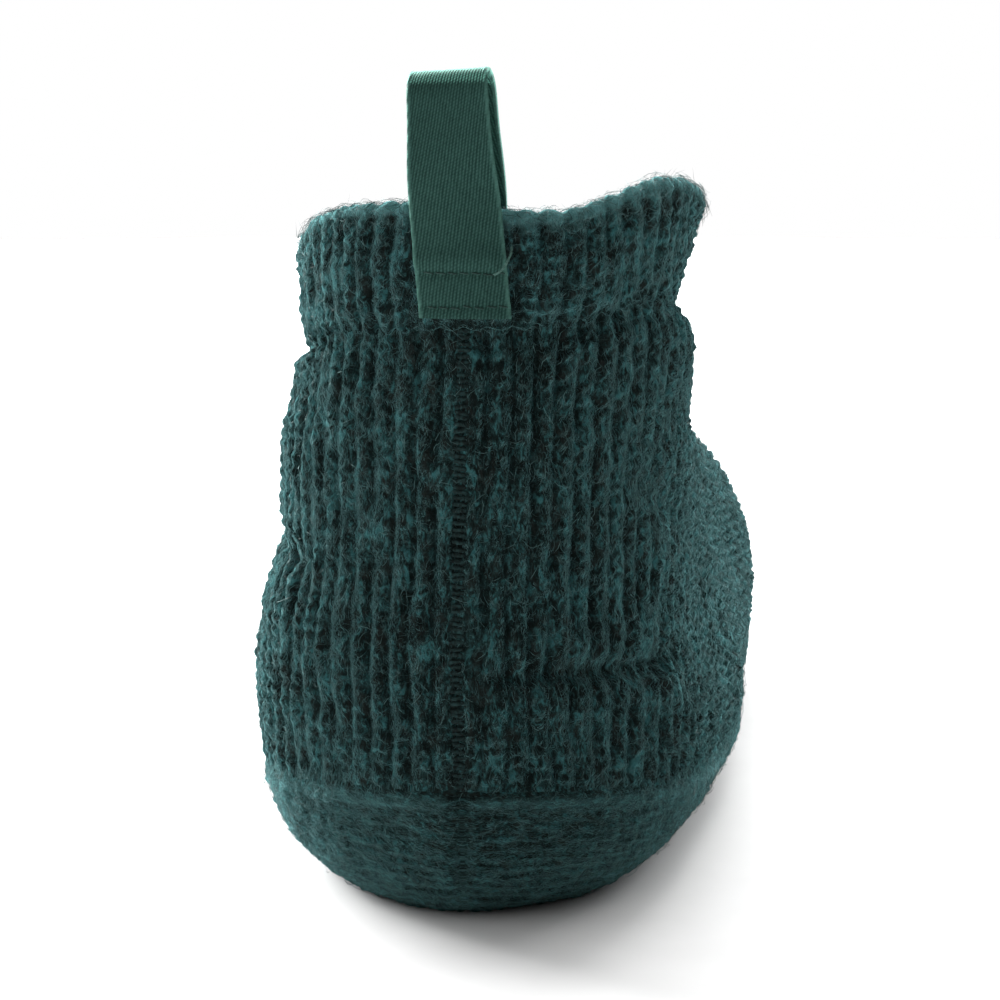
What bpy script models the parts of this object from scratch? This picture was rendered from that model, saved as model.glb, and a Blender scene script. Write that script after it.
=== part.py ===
"""Rib-knit slipper bootie for the left foot, standing empty on its padded sole.

The toe points along -Y, the lateral side along +X, and the floor is Z = 0. Sizes are in
millimetres and become metres when a mesh is made. "Forward" is the distance from the back of
the heel towards the toe.
"""

import bmesh
import bpy
import numpy as np

MM = 0.001

# Driving sizes of the shoe. Every ring has the same number of points, its columns. A half ring
# is measured along this many short chords for each of its columns.
LENGTH = 255.0
COLUMNS = 60
CHORDS = 40
KNIT_WALL = 3.0
CUFF_STEP = 1.8
SEAM_GAP = 0.3

# Points closer than this are one point, edges shorter than the second are none, and edges that
# turn more than this angle are sharp.
SAME_POINT = 0.01
SHORT_EDGE = 0.001
SHARP_ANGLE = 50.0

# Padded sole: how far its edge rounds inwards under the shoe at forward distances, and how its
# underside leaves the floor at the arch and the toe.
EDGE_ROUND = ((0.0, 9.0), (20.0, 14.5), (45.0, 19.0), (80.0, 17.0), (120.0, 13.0), (255.0, 12.0))
PAD_HEIGHT = 12.2
ARCH_RISE = 2.0
ARCH_FROM = 82.0
ARCH_TO = 140.0
TOE_SPRING = 6.0
TOE_SPRING_FROM = 205.0
BAND_LIFT = 0.25
INSOLE_THICKNESS = 3.6
INSOLE_CLEARANCE = 0.7
TOP_ROUND = 1.2
PAD_CLEARANCE = 0.5

# Angles down the edge at the outside of the band, and back up at its inside.
BAND_DOWN = (0, 14, 28, 42, 56, 70, 82, 90)
BAND_UP = (90, 78, 65, 52, 39, 26, 13, 0)
EDGE_STEPS = 61

# Heights of the pad's side rows, and how far the rows that close a pad go to its middle line.
# That line stops at this share of the length before each end.
PAD_SIDE_HEIGHTS = (4.6, 6.4, 8.6)
PAD_CAP = (0.25, 0.55, 0.8, 1.0)
INSOLE_CAP = (0.3, 0.7, 1.0)
SPINE_END_SHARE = 0.16

# Rows up the upper: below the cuff, ending this part of a ring under it, then on the cuff, and
# the angles over its rolled rim.
LEG_ROWS = 19
CUFF_NOTCH = 0.12
CUFF_ROWS = 6
ROLL_ANGLES = (40, 90, 140)

# Pull loop of woven tape.
TAPE_WIDTH = 15.0
TAPE_THICKNESS = 1.2
TAPE_ROWS = 44
TAPE_POINTS = 7

# The cuff behind the tape is this many columns to each side of the centre back.
BACK_REACH = 5

# Each ring goes round the outside of the upper, from the seam on the sole to the rim. "back" and
# "front" are its ends as forward distances. The heights are at the back, beside the ankle and at
# the front. "lean" moves the heel end of the ring to the lateral side. The last six are
# half-widths at these shares of the ring's length.
STATIONS = (0.08, 0.22, 0.42, 0.62, 0.80, 0.92)
RING_COLUMNS = (
    "name", "back", "front", "back_z", "side_z", "front_z", "lean",
    "w08", "w22", "w42", "w62", "w80", "w92",
)
RINGS = (
    ("seam", 1.5, 253.5, 23.5, 15.0, 19.0, 0.2, 33.0, 42.2, 47.6, 47.6, 46.6, 36.0),
    ("bulge", 0.0, 255.0, 34.0, 28.0, 29.0, 0.6, 33.8, 43.0, 47.8, 48.0, 47.2, 37.0),
    ("hip", 0.5, 252.5, 46.0, 41.0, 40.0, 2.3, 32.6, 40.6, 44.4, 46.0, 45.2, 34.4),
    ("shoulder", 2.0, 244.0, 58.0, 53.0, 50.5, 1.5, 30.6, 38.2, 41.4, 43.2, 41.6, 29.4),
    ("ankle", 3.0, 227.0, 70.0, 65.0, 60.0, 0.6, 29.4, 37.6, 39.6, 41.0, 35.4, 22.0),
    ("shin", 3.5, 196.0, 82.0, 76.5, 68.5, 0.3, 28.2, 36.9, 37.8, 35.8, 27.2, 16.5),
    ("instep", 4.5, 158.0, 92.0, 86.5, 77.0, -0.8, 25.6, 35.0, 36.0, 32.8, 23.5, 14.0),
    ("throat", 5.8, 124.0, 99.0, 93.5, 84.5, -2.0, 23.0, 33.4, 35.6, 31.4, 22.3, 13.4),
    ("cuff_edge", 6.3, 107.0, 102.6, 98.5, 89.5, -1.6, 20.6, 29.8, 32.6, 31.0, 24.2, 15.2),
    ("rim", 6.0, 101.0, 120.0, 116.6, 110.0, -3.8, 21.2, 31.0, 35.2, 33.6, 25.8, 16.6),
)
# The share of the lean at the ring's back, at the stations above and at its front.
LEAN_SHARE = (0.2, 0.8, 1.0, 0.7, 0.2, 0.0, 0.0, 0.0)

# The last curves inwards: how far its middle lies to the lateral side, by forward distance.
BEND = ((0.0, 0.0), (60.0, 0.2), (160.0, 0.8), (215.0, -3.0), (255.0, -9.0))

# How far the collar's rim and the cuff's lower edge lie above their rings, by share of the way
# round from the centre back over the lateral side: the collar sags outside and stands up inside.
# Columns: share, rim, cuff edge.
COLLAR_WAVE = (
    (0.00, 0.0, 0.0),
    (0.08, 1.0, -0.2),
    (0.15, 0.0, -0.4),
    (0.22, -2.8, -0.8),
    (0.36, -0.8, -0.6),
    (0.50, 0.0, 0.0),
    (0.62, 1.6, 3.2),
    (0.76, 5.8, 9.0),
    (0.83, 7.2, 8.8),
    (0.88, 5.0, 5.2),
    (0.93, 0.2, 1.4),
)

# The ring below the cuff follows this share of the cuff edge's wave.
THROAT_WAVE = 0.6

# Route of the tape from its sewn end outside the cuff, over the top and down inside. "forward"
# and "z" place the tape's middle where it is free, and "shift" moves it to the lateral side.
# "hug" is how far it lies on the cuff instead, outside up to its top row and inside after it.
# "turn" twists it, in degrees, with its medial edge towards the back.
# Columns: forward, z, shift, hug, turn.
TAPE_ROUTE = (
    (3.3, 103.8, -0.8, 1.0, 0.0),
    (3.3, 112.0, -0.1, 1.0, 0.0),
    (3.2, 119.0, 0.5, 1.0, 0.0),
    (2.3, 128.0, 1.2, 0.3, 4.0),
    (2.2, 134.0, 1.5, 0.0, 8.0),
    (2.1, 139.0, 1.7, 0.0, 10.0),
    (2.3, 141.6, 1.8, 0.0, 12.0),
    (3.6, 143.4, 1.9, 0.0, 15.0),
    (6.0, 144.2, 2.0, 0.0, 17.0),
    (8.8, 144.0, 1.9, 0.0, 17.0),
    (11.3, 142.6, 1.7, 0.0, 14.0),
    (12.6, 139.2, 1.5, 0.0, 10.0),
    (12.4, 133.5, 1.1, 0.0, 9.0),
    (12.0, 127.0, 0.6, 0.3, 5.0),
    (10.4, 119.0, 0.3, 1.0, 0.0),
    (10.4, 108.0, 0.2, 1.0, 0.0),
)
# The twisted part's medial edge also stands this much higher.
TAPE_TILT = 0.2
TAPE_TOP = 8


def fill_gaps(knots, values, at):
    """Cubic spline through the values at rising knots, straight at its two ends."""
    count = len(knots)
    step = np.diff(knots)
    matrix = np.eye(count)
    right = np.zeros_like(values)
    for i in range(1, count - 1):
        matrix[i, i - 1:i + 2] = step[i - 1], 2 * (step[i - 1] + step[i]), step[i]
        rise_after = (values[i + 1] - values[i]) / step[i]
        rise_before = (values[i] - values[i - 1]) / step[i - 1]
        right[i] = 6 * (rise_after - rise_before)
    curve = np.linalg.solve(matrix, right)
    i = np.clip(np.searchsorted(knots, at, side="right") - 1, 0, count - 2)
    h = step[i]
    a = (knots[i + 1] - at) / h
    b = (at - knots[i]) / h
    if values.ndim == 2:
        a, b, h = a[:, None], b[:, None], h[:, None]
    cubic = ((a**3 - a) * curve[i] + (b**3 - b) * curve[i + 1]) * h**2 / 6
    return a * values[i] + b * values[i + 1] + cubic


def fill_loop(knots, values, at, period):
    """The same spline round a closed loop, which three turns of the loop make smooth."""
    turns = np.concatenate([knots - period, knots, knots + period])
    return fill_gaps(turns, np.concatenate([values] * 3), at)


def row(columns, values):
    """One table row with its columns' names."""
    return dict(zip(columns, values))


def bend(forward):
    """Sideways place of the last's middle."""
    places = np.array(BEND)
    return fill_gaps(places[:, 0], places[:, 1], np.asarray(forward, float))


def ring_outline(values):
    """COLUMNS points round one ring, from the centre back over the lateral side.

    Six half-widths a side and the two ends are joined by a closed spline, and each half is
    then cut into equal lengths.
    """
    ring = row(RING_COLUMNS, values)
    shares = np.array((0.0,) + STATIONS + (1.0,))
    forward = ring["back"] + shares * (ring["front"] - ring["back"])
    width = np.array([0.0] + [ring[c] for c in RING_COLUMNS[7:]] + [0.0])
    lean = ring["lean"] * np.array(LEAN_SHARE)
    heights = np.array([ring["back_z"], ring["side_z"], ring["front_z"]])
    height = fill_gaps(np.array([0.0, 0.25, 1.0]), heights, shares)
    middle = bend(forward) + lean
    lateral = np.stack([middle + width, forward, height], axis=1)
    medial = np.stack([middle - width, forward, height], axis=1)
    points = np.concatenate([lateral, medial[-2:0:-1]])
    chords = np.linalg.norm(np.diff(points, axis=0, append=points[:1]), axis=1)
    knots = np.concatenate([[0.0], np.cumsum(chords)])
    front_knot = knots[len(shares) - 1]
    half = COLUMNS // 2
    sides = []
    for start, end in ((0.0, front_knot), (front_knot, knots[-1])):
        at = np.linspace(start, end, CHORDS * half)
        dense = fill_loop(knots[:-1], points, at, knots[-1])
        run = np.linalg.norm(np.diff(dense, axis=0), axis=1)
        run = np.concatenate([[0.0], np.cumsum(run)])
        cuts = np.linspace(0.0, run[-1], half + 1)[:-1]
        sides.append(np.stack([np.interp(cuts, run, dense[:, k]) for k in range(3)], axis=1))
    return np.concatenate(sides)


def body_rings():
    """All rings as one array: ring, column, xyz, with the collar's wave on the top ones."""
    rings = np.array([ring_outline(values) for values in RINGS])
    share, rim_wave, edge_wave = np.array(COLLAR_WAVE).T
    at = np.arange(COLUMNS) / COLUMNS
    rim = fill_loop(share, rim_wave, at, 1.0)
    cuff_edge = fill_loop(share, edge_wave, at, 1.0)
    rings[-1, :, 2] += rim
    rings[-2, :, 2] += cuff_edge
    rings[-3, :, 2] += THROAT_WAVE * cuff_edge
    return rings


def body_surface(levels):
    """Points of the upper's outside at ring numbers that may lie between rings."""
    rings = body_rings()
    count = len(rings)
    flat = rings.reshape(count, -1)
    points = fill_gaps(np.arange(count, dtype=float), flat, np.asarray(levels, float))
    return points.reshape(len(levels), COLUMNS, 3)


def outward(points):
    """Unit normals of a grid of rings, pointing away from the foot."""
    around = np.roll(points, -1, axis=1) - np.roll(points, 1, axis=1)
    upward = np.gradient(points, axis=0)
    normal = np.cross(around, upward)
    return normal / np.linalg.norm(normal, axis=2, keepdims=True)


def level_outward(outline):
    """Unit vectors in the floor plane that point out of one ring."""
    around = np.roll(outline, -1, axis=0) - np.roll(outline, 1, axis=0)
    out = np.stack([around[:, 1], -around[:, 0], np.zeros(len(outline))], axis=1)
    out /= np.linalg.norm(out, axis=1, keepdims=True)
    middle = outline.mean(axis=0)
    if np.sum((outline - middle) * out) < 0:
        out = -out
    return out


def underside(forward):
    """Height of the sole's underside: a low arch, flat heel and ball, and the toe's spring."""
    arch = np.clip((forward - ARCH_FROM) / (ARCH_TO - ARCH_FROM), 0, 1)
    toe = np.clip((forward - TOE_SPRING_FROM) / (LENGTH - TOE_SPRING_FROM), 0, 1)
    return ARCH_RISE * np.sin(np.pi * arch) ** 2 + TOE_SPRING * toe**2


def edge_profile(offset, turns):
    """The sole's rounded edge, moved inwards by an offset, at angles from the seam down.

    A quarter ellipse falls from the seam to the underside. Each row holds one angle.
    """
    outline = ring_outline(RINGS[0])
    out = level_outward(outline)
    forward, inset = np.array(EDGE_ROUND).T
    edge_round = np.interp(outline[:, 1], forward, inset)
    rows = []
    for turn in np.radians(turns):
        drop = np.sin(turn)
        inset = edge_round * (1 - np.cos(turn))
        floor_point = outline - out * inset[:, None]
        base = underside(floor_point[:, 1])
        tall = outline[:, 2] - base
        slope_in = tall * np.cos(turn)
        slope_up = edge_round * drop
        size = np.hypot(slope_in, slope_up)
        point = outline - out * (inset + offset * slope_in / size)[:, None]
        point[:, 2] = base + tall * (1 - drop) + offset * slope_up / size
        rows.append(point)
    return np.array(rows)


def at_height(profile, height):
    """The point of each column's falling profile that lies a height above the underside."""
    result = np.empty((COLUMNS, 3))
    for j in range(COLUMNS):
        column = profile[:, j]
        above = column[:, 2] - underside(column[:, 1])
        order = np.argsort(above)
        for k in range(2):
            result[j, k] = np.interp(height, above[order], column[order, k])
    result[:, 2] = underside(result[:, 1]) + height
    return result


def spine(outline):
    """Middle line of an outline: columns that face each other share one point."""
    partner = outline[(-np.arange(COLUMNS)) % COLUMNS]
    middle = (outline + partner) / 2
    end = SPINE_END_SHARE * (outline[:, 1].max() - outline[:, 1].min())
    low, high = outline[:, 1].min() + end, outline[:, 1].max() - end
    middle[:, 1] = np.clip(middle[:, 1], low, high)
    middle[:, 0] = bend(middle[:, 1])
    return middle


def cap_rings(outline, height, shares):
    """Rings that close an outline towards its middle line, a height above the underside.

    A share of 1 is the middle line itself.
    """
    middle = spine(outline)
    rings = []
    for share in shares:
        ring = outline + (middle - outline) * share
        ring[:, 2] = underside(ring[:, 1]) + height
        rings.append(ring)
    return rings


def make_mesh(name, grid, closed):
    """A mesh from rings of points, in metres and in the model's frame.

    A closed one joins its last ring to its first. Otherwise the end rings are flat slits
    whose facing points become one.
    """
    count, columns = grid.shape[:2]
    flat = grid.reshape(-1, 3) * MM
    flat[:, 1] = LENGTH / 2 * MM - flat[:, 1]
    faces = []
    for i in range(count if closed else count - 1):
        k = (i + 1) % count
        for j in range(columns):
            n = (j + 1) % columns
            faces.append((i * columns + j, i * columns + n, k * columns + n, k * columns + j))
    mesh = bpy.data.meshes.new(name)
    mesh.from_pydata(flat.tolist(), [], faces)
    work = bmesh.new()
    work.from_mesh(mesh)
    bmesh.ops.remove_doubles(work, verts=work.verts, dist=SAME_POINT * MM)
    bmesh.ops.dissolve_degenerate(work, edges=work.edges, dist=SHORT_EDGE * MM)
    bmesh.ops.recalc_face_normals(work, faces=work.faces)
    work.to_mesh(mesh)
    work.free()
    mesh.shade_smooth()
    mesh.set_sharp_from_angle(angle=np.radians(SHARP_ANGLE))
    return mesh


def make_material(name, colour, roughness):
    """A plain Principled material."""
    material = bpy.data.materials.new(name)
    material.use_nodes = True
    shader = material.node_tree.nodes["Principled BSDF"]
    shader.inputs["Base Color"].default_value = (*colour, 1.0)
    shader.inputs["Roughness"].default_value = roughness
    shader.inputs["Metallic"].default_value = 0.0
    return material


def add_object(name, mesh, material, collection):
    """An object in the shoe's collection."""
    made = bpy.data.objects.new(name, mesh)
    mesh.materials.append(material)
    collection.objects.link(made)
    return made


def upper_rows():
    """The upper's wall as rows of rings: outside upwards, over the rolled rim, inside upwards."""
    edge = [values[0] for values in RINGS].index("cuff_edge")
    rim = len(RINGS) - 1
    below = np.linspace(0.0, edge - CUFF_NOTCH, LEG_ROWS)
    cuff = np.linspace(edge, rim, CUFF_ROWS)
    body = body_surface(np.concatenate([below, cuff]))
    normal = outward(body)
    level = normal * (1, 1, 0)
    level /= np.linalg.norm(level, axis=2, keepdims=True)
    body[0, :, 2] += SEAM_GAP / 2

    outside = body.copy()
    outside[LEG_ROWS:] += level[LEG_ROWS:] * CUFF_STEP
    inside = body - normal * KNIT_WALL
    inside[0] = body[0] - level[0] * KNIT_WALL
    inside[LEG_ROWS:] = body[LEG_ROWS:] - level[LEG_ROWS:] * KNIT_WALL

    wall = KNIT_WALL + CUFF_STEP
    middle = (outside[-1] + inside[-1]) / 2
    roll = []
    for turn in np.radians(ROLL_ANGLES):
        ring = middle + level[-1] * (np.cos(turn) * wall / 2)
        ring[:, 2] += np.sin(turn) * wall / 2
        roll.append(ring)
    return outside, np.array(roll), inside


def make_upper(collection):
    """The knit upper: one wall from the seam to the rolled rim, thicker at the turned cuff.

    Inside it needs only every second row.
    """
    outside, roll, inside = upper_rows()
    last = len(inside) - 1
    wanted = [i for i in range(len(inside)) if i < 2 or i % 2 == 0 or i == last]
    grid = np.concatenate([outside, roll, inside[wanted][::-1]])
    material = make_material("rib_knit", (0.030, 0.088, 0.092), 0.95)
    return add_object("upper", make_mesh("upper", grid, True), material, collection)


def make_base_band(collection):
    """The plain-knit strip: its outside rounds under the shoe, its inside lies on the pad."""
    outside = edge_profile(0.0, BAND_DOWN)
    inside = edge_profile(KNIT_WALL, BAND_UP)
    outside[0, :, 2] -= SEAM_GAP / 2
    inside[-1, :, 2] -= SEAM_GAP / 2
    outside[-2:, :, 2] += BAND_LIFT
    material = make_material("plain_knit", (0.026, 0.075, 0.078), 0.95)
    mesh = make_mesh("base_band", np.concatenate([outside, inside]), True)
    return add_object("base_band", mesh, material, collection)


def make_sole(collection):
    """The padded sole: its bottom panel fills the band's opening and its pad spreads above."""
    offset = KNIT_WALL + PAD_CLEARANCE
    lying = edge_profile(offset, np.linspace(0, 90, EDGE_STEPS))
    edge = edge_profile(0.0, (90,))[0]
    out = level_outward(edge)
    bottom = edge - out * SEAM_GAP
    bottom[:, 2] = underside(bottom[:, 1])
    ledge = bottom.copy()
    ledge[:, 2] += offset + BAND_LIFT
    shoulder = at_height(lying, PAD_HEIGHT - TOP_ROUND)
    top = shoulder - out * TOP_ROUND
    top[:, 2] = underside(top[:, 1]) + PAD_HEIGHT
    grid = cap_rings(bottom, 0.0, PAD_CAP[::-1]) + [bottom, ledge]
    grid += [at_height(lying, height) for height in PAD_SIDE_HEIGHTS]
    grid += [shoulder, top] + cap_rings(top, PAD_HEIGHT, PAD_CAP)
    material = make_material("sole_felt", (0.022, 0.050, 0.052), 0.95)
    mesh = make_mesh("sole", np.array(grid), False)
    return add_object("sole", mesh, material, collection)


def make_insole(collection):
    """The soft footbed that lies on the pad, clear of the knit walls."""
    low = PAD_HEIGHT + SEAM_GAP
    high = low + INSOLE_THICKNESS
    lying = edge_profile(KNIT_WALL + INSOLE_CLEARANCE, np.linspace(0, 90, EDGE_STEPS))
    side = at_height(lying, low)
    out = level_outward(side)
    shoulder, top = side.copy(), side - out * TOP_ROUND
    shoulder[:, 2] = underside(side[:, 1]) + high - TOP_ROUND
    top[:, 2] = underside(top[:, 1]) + high
    grid = cap_rings(side, low, INSOLE_CAP[::-1]) + [side, shoulder, top]
    grid += cap_rings(top, high, INSOLE_CAP)
    material = make_material("insole_fleece", (0.42, 0.42, 0.40), 0.95)
    mesh = make_mesh("insole", np.array(grid), False)
    return add_object("insole", mesh, material, collection)


def cuff_back(rows, x, z):
    """Forward distance of the cuff's face near the centre back, at a sideways place and height."""
    near = np.concatenate([rows[:, -BACK_REACH:], rows[:, :BACK_REACH + 1]], axis=1)
    forward = [np.interp(x, ring[:, 0], ring[:, 1]) for ring in near]
    height = [np.interp(x, ring[:, 0], ring[:, 2]) for ring in near]
    return np.interp(z, height, forward)


def make_pull_loop(collection):
    """The folded tape: a ribbon along its route, lying on the cuff where it is sewn."""
    outside, _, inside = upper_rows()
    route = np.array(TAPE_ROUTE)
    chords = np.linalg.norm(np.diff(route[:, :2], axis=0), axis=1)
    knots = np.concatenate([[0.0], np.cumsum(chords)])
    at = np.linspace(0, knots[-1], TAPE_ROWS)
    line = fill_gaps(knots, route, at)
    across = np.linspace(-TAPE_WIDTH / 2, TAPE_WIDTH / 2, TAPE_POINTS)
    off = SEAM_GAP + TAPE_THICKNESS / 2
    grid = np.empty((TAPE_ROWS, TAPE_POINTS, 3))
    for i, (forward, z, shift, hug, turn) in enumerate(line):
        hug = min(max(hug, 0.0), 1.0)
        turn = np.radians(turn)
        outer_leg = at[i] < knots[TAPE_TOP]
        rows = outside[LEG_ROWS:] if outer_leg else inside[LEG_ROWS:]
        for j, offset in enumerate(across):
            x = shift + offset * np.cos(turn)
            free = forward + offset * np.sin(turn)
            lying = cuff_back(rows, x, z) + (-off if outer_leg else off)
            grid[i, j] = x, free + hug * (lying - free), z - TAPE_TILT * offset * np.sin(turn)
    flat = grid.reshape(-1, 3) * MM
    flat[:, 1] = LENGTH / 2 * MM - flat[:, 1]
    faces = []
    for i in range(TAPE_ROWS - 1):
        for j in range(TAPE_POINTS - 1):
            a = i * TAPE_POINTS + j
            b = a + TAPE_POINTS
            faces.append((a, a + 1, b + 1, b))
    mesh = bpy.data.meshes.new("pull_loop")
    mesh.from_pydata(flat.tolist(), [], faces)
    mesh.shade_smooth()
    material = make_material("twill_tape", (0.030, 0.160, 0.120), 0.8)
    loop = add_object("pull_loop", mesh, material, collection)
    thicken = loop.modifiers.new("tape thickness", "SOLIDIFY")
    thicken.thickness = TAPE_THICKNESS * MM
    thicken.offset = 0.0
    return loop


for old in list(bpy.data.objects):
    bpy.data.objects.remove(old)
shoe = bpy.data.collections.new("knit_slipper_bootie")
bpy.context.scene.collection.children.link(shoe)
make_upper(shoe)
make_base_band(shoe)
make_sole(shoe)
make_insole(shoe)
make_pull_loop(shoe)
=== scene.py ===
import bmesh
import bpy
import numpy as np
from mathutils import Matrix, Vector


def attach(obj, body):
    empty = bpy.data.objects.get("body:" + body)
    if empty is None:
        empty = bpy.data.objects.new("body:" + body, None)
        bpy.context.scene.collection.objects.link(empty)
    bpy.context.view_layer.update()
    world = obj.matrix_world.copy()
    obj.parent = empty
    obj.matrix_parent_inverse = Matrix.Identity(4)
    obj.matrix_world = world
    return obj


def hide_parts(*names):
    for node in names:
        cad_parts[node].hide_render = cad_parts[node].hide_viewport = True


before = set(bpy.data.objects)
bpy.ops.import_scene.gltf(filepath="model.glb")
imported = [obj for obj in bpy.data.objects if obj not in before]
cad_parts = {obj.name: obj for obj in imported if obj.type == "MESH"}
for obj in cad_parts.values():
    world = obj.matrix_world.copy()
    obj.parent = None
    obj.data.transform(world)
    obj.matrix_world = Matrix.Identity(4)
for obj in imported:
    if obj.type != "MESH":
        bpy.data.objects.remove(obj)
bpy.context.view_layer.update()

# A left slipper bootie of felted rib knit on a padded sole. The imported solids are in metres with
# the toe along -Y. The sizes below are in millimetres, as sideways, forward and up: sideways is
# the lateral side, and forward is measured from the back of the heel towards the toe.

# Upper halves
# Two halves of felted rib knit, cut with the ribs running up the leg. They are joined down the
# centre back and along the instep, and drawn over the last while damp, so the ribs stay round.
MM = 0.001
LENGTH = 255.0
STATIONS = (0.08, 0.22, 0.42, 0.62, 0.80, 0.92)
# Name, forward places of a ring's back and front, its heights at the back, sides and front, how
# far it leans to the lateral side, and its half-widths at the stations.
RINGS = (
    ("seam", 1.5, 253.5, 23.5, 15.0, 19.0, 0.2, 33.0, 42.2, 47.6, 47.6, 46.6, 36.0),
    ("bulge", 0.0, 255.0, 34.0, 28.0, 29.0, 0.6, 33.8, 43.0, 47.8, 48.0, 47.2, 37.0),
    ("hip", 0.5, 252.5, 46.0, 41.0, 40.0, 2.3, 32.6, 40.6, 44.4, 46.0, 45.2, 34.4),
    ("shoulder", 2.0, 244.0, 58.0, 53.0, 50.5, 1.5, 30.6, 38.2, 41.4, 43.2, 41.6, 29.4),
    ("ankle", 3.0, 227.0, 70.0, 65.0, 60.0, 0.6, 29.4, 37.6, 39.6, 41.0, 35.4, 22.0),
    ("shin", 3.5, 196.0, 82.0, 76.5, 68.5, 0.3, 28.2, 36.9, 37.8, 35.8, 27.2, 16.5),
    ("instep", 4.5, 158.0, 92.0, 86.5, 77.0, -0.8, 25.6, 35.0, 36.0, 32.8, 23.5, 14.0),
    ("throat", 5.8, 124.0, 99.0, 93.5, 84.5, -2.0, 23.0, 33.4, 35.6, 31.4, 22.3, 13.4),
    ("cuff_edge", 6.3, 107.0, 102.6, 98.5, 89.5, -1.6, 20.6, 29.8, 32.6, 31.0, 24.2, 15.2),
    ("rim", 6.0, 101.0, 120.0, 116.6, 110.0, -3.8, 21.2, 31.0, 35.2, 33.6, 25.8, 16.6),
)
# The share of the lean at a ring's back, at its stations and at its front.
LEAN_SHARE = (0.2, 0.8, 1.0, 0.7, 0.2, 0.0, 0.0, 0.0)
# Where along a ring its three heights are given.
HEIGHT_PLACES = (0.0, 0.25, 1.0)
# Forward distance, and how far the last's middle lies to the lateral side there.
BEND = ((0.0, 0.0), (60.0, 0.2), (160.0, 0.8), (215.0, -3.0), (255.0, -9.0))
# Share of the way round, and how far the rim and the cuff's lower edge lie above their rings.
COLLAR_WAVE = (
    (0.00, 0.0, 0.0),
    (0.08, 1.0, -0.2),
    (0.15, 0.0, -0.4),
    (0.22, -2.8, -0.8),
    (0.36, -0.8, -0.6),
    (0.50, 0.0, 0.0),
    (0.62, 1.6, 3.2),
    (0.76, 5.8, 9.0),
    (0.83, 7.2, 8.8),
    (0.88, 5.0, 5.2),
    (0.93, 0.2, 1.4),
)
# The throat ring takes this share of the cuff edge's wave.
THROAT_WAVE = 0.6
CUFF_LEVEL = 8.0
RIM_LEVEL = 9.0
LATERAL, MEDIAL = 1, -1

# Each half of a ring is cut into this many equal pieces.
PARTS = 600
HALF_ROWS = 190
HEEL_STEP = 0.5
TOE_STEP = 0.85
HEEL_REACH = 125.0
HEM_OVERLAP = 0.12

RIB_PITCH = 4.1
RIB_DEPTH, RIB_RISE = 1.05, 0.12
RIB_SHARPNESS = 2.0
COURSE_PITCH = 2.4
STITCH_HEIGHT = 0.27
STITCH_LEAN = 1.5
# Noise comes in layers: each has its size across the ribs and up them, and its height.
WANDER = ((9.0, 14.0, 0.7), (3.0, 4.0, 0.25))
USUAL_DEPTH, DEPTH_CHANGE = 0.85, ((5.0, 8.0, 0.55),)
COURSE_DRIFT = ((4.0, 5.0, 0.3),)
LUMPS = ((2.3, 3.6, 0.42), (1.1, 2.2, 0.16))
STITCH_CHANGE = ((4.0, 4.0, 0.8),)
# Painted shade begins below this height and is full this much lower.
PAINTED_SHADE_FROM, PAINTED_SHADE_DEPTH = 0.1, 1.0
SEAM_DIP = 0.45
SEAM_REACH = 2.2
# Painted shade in the seam grooves, as a share of full shade.
SEAM_SHADE = 0.25
# The relief grows from this share at the bottom edge to all of it over this rise.
FOOT_SHARE, FOOT_RISE = 0.4, 3.0
# From here forwards the medial side is stretched, and its stitches slant instead of its ribs.
SLANT_FROM, SLANT_OVER = 28.0, 32.0
# The slanting stitches are stronger, and are drawn out more and more towards the toe.
SLANT_STITCHES, SLANT_REACH, SLANT_BOOST = 12.0, 26.0, 0.7
SLANT_RIB_SHARE = 0.35
# The marl there is drawn out too, and slants by this share of the height above the middle.
MARL_STRETCH, MARL_SLANT, MARL_MIDDLE, MARL_EASE = 0.5, 0.22, 42.0, 35.0

# Creases: side, from and to as distance round from the centre back and height, then their
# half-width and depth. A ridge has a negative depth.
CREASES = (
    (MEDIAL, 8.0, 44.0, 46.0, 42.0, 1.9, 1.35),
    (MEDIAL, 10.0, 38.5, 48.0, 36.5, 3.6, -0.7),
    (MEDIAL, 14.0, 50.0, 40.0, 49.0, 3.6, -0.45),
    (LATERAL, 36.0, 59.5, 74.0, 61.5, 2.6, 1.3),
    (LATERAL, 40.0, 51.0, 78.0, 52.0, 5.0, -0.6),
    (MEDIAL, 34.0, 74.0, 66.0, 60.0, 3.2, 0.9),
    (MEDIAL, 44.0, 62.0, 78.0, 50.0, 5.0, -0.7),
    (LATERAL, 70.0, 78.0, 112.0, 66.0, 4.0, 1.2),
    (MEDIAL, 78.0, 80.0, 118.0, 67.0, 4.0, 1.2),
    (LATERAL, 14.0, 84.0, 34.0, 86.0, 3.6, 0.5),
)


def spline(knots, values, at):
    """Natural cubic spline: a curve through rows of values at rising knots."""
    step = np.diff(knots)
    matrix = np.eye(len(knots))
    right = np.zeros_like(values)
    inner = np.arange(1, len(knots) - 1)
    matrix[inner, inner - 1] = step[:-1]
    matrix[inner, inner] = 2 * (step[:-1] + step[1:])
    matrix[inner, inner + 1] = step[1:]
    tall = step.reshape((-1,) + (1,) * (values.ndim - 1))
    rise = np.diff(values, axis=0) / tall
    right[1:-1] = 6 * np.diff(rise, axis=0)
    curve = np.linalg.solve(matrix, right)
    i = np.clip(np.searchsorted(knots, at, side="right") - 1, 0, len(knots) - 2)
    h, over = step[i], at - np.asarray(knots)[i]
    if values.ndim == 2:
        h, over = h[:, None], over[:, None]
    b = over / h
    a = 1 - b
    cubic = ((a**3 - a) * curve[i] + (b**3 - b) * curve[i + 1]) * h**2 / 6
    return a * values[i] + b * values[i + 1] + cubic


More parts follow.
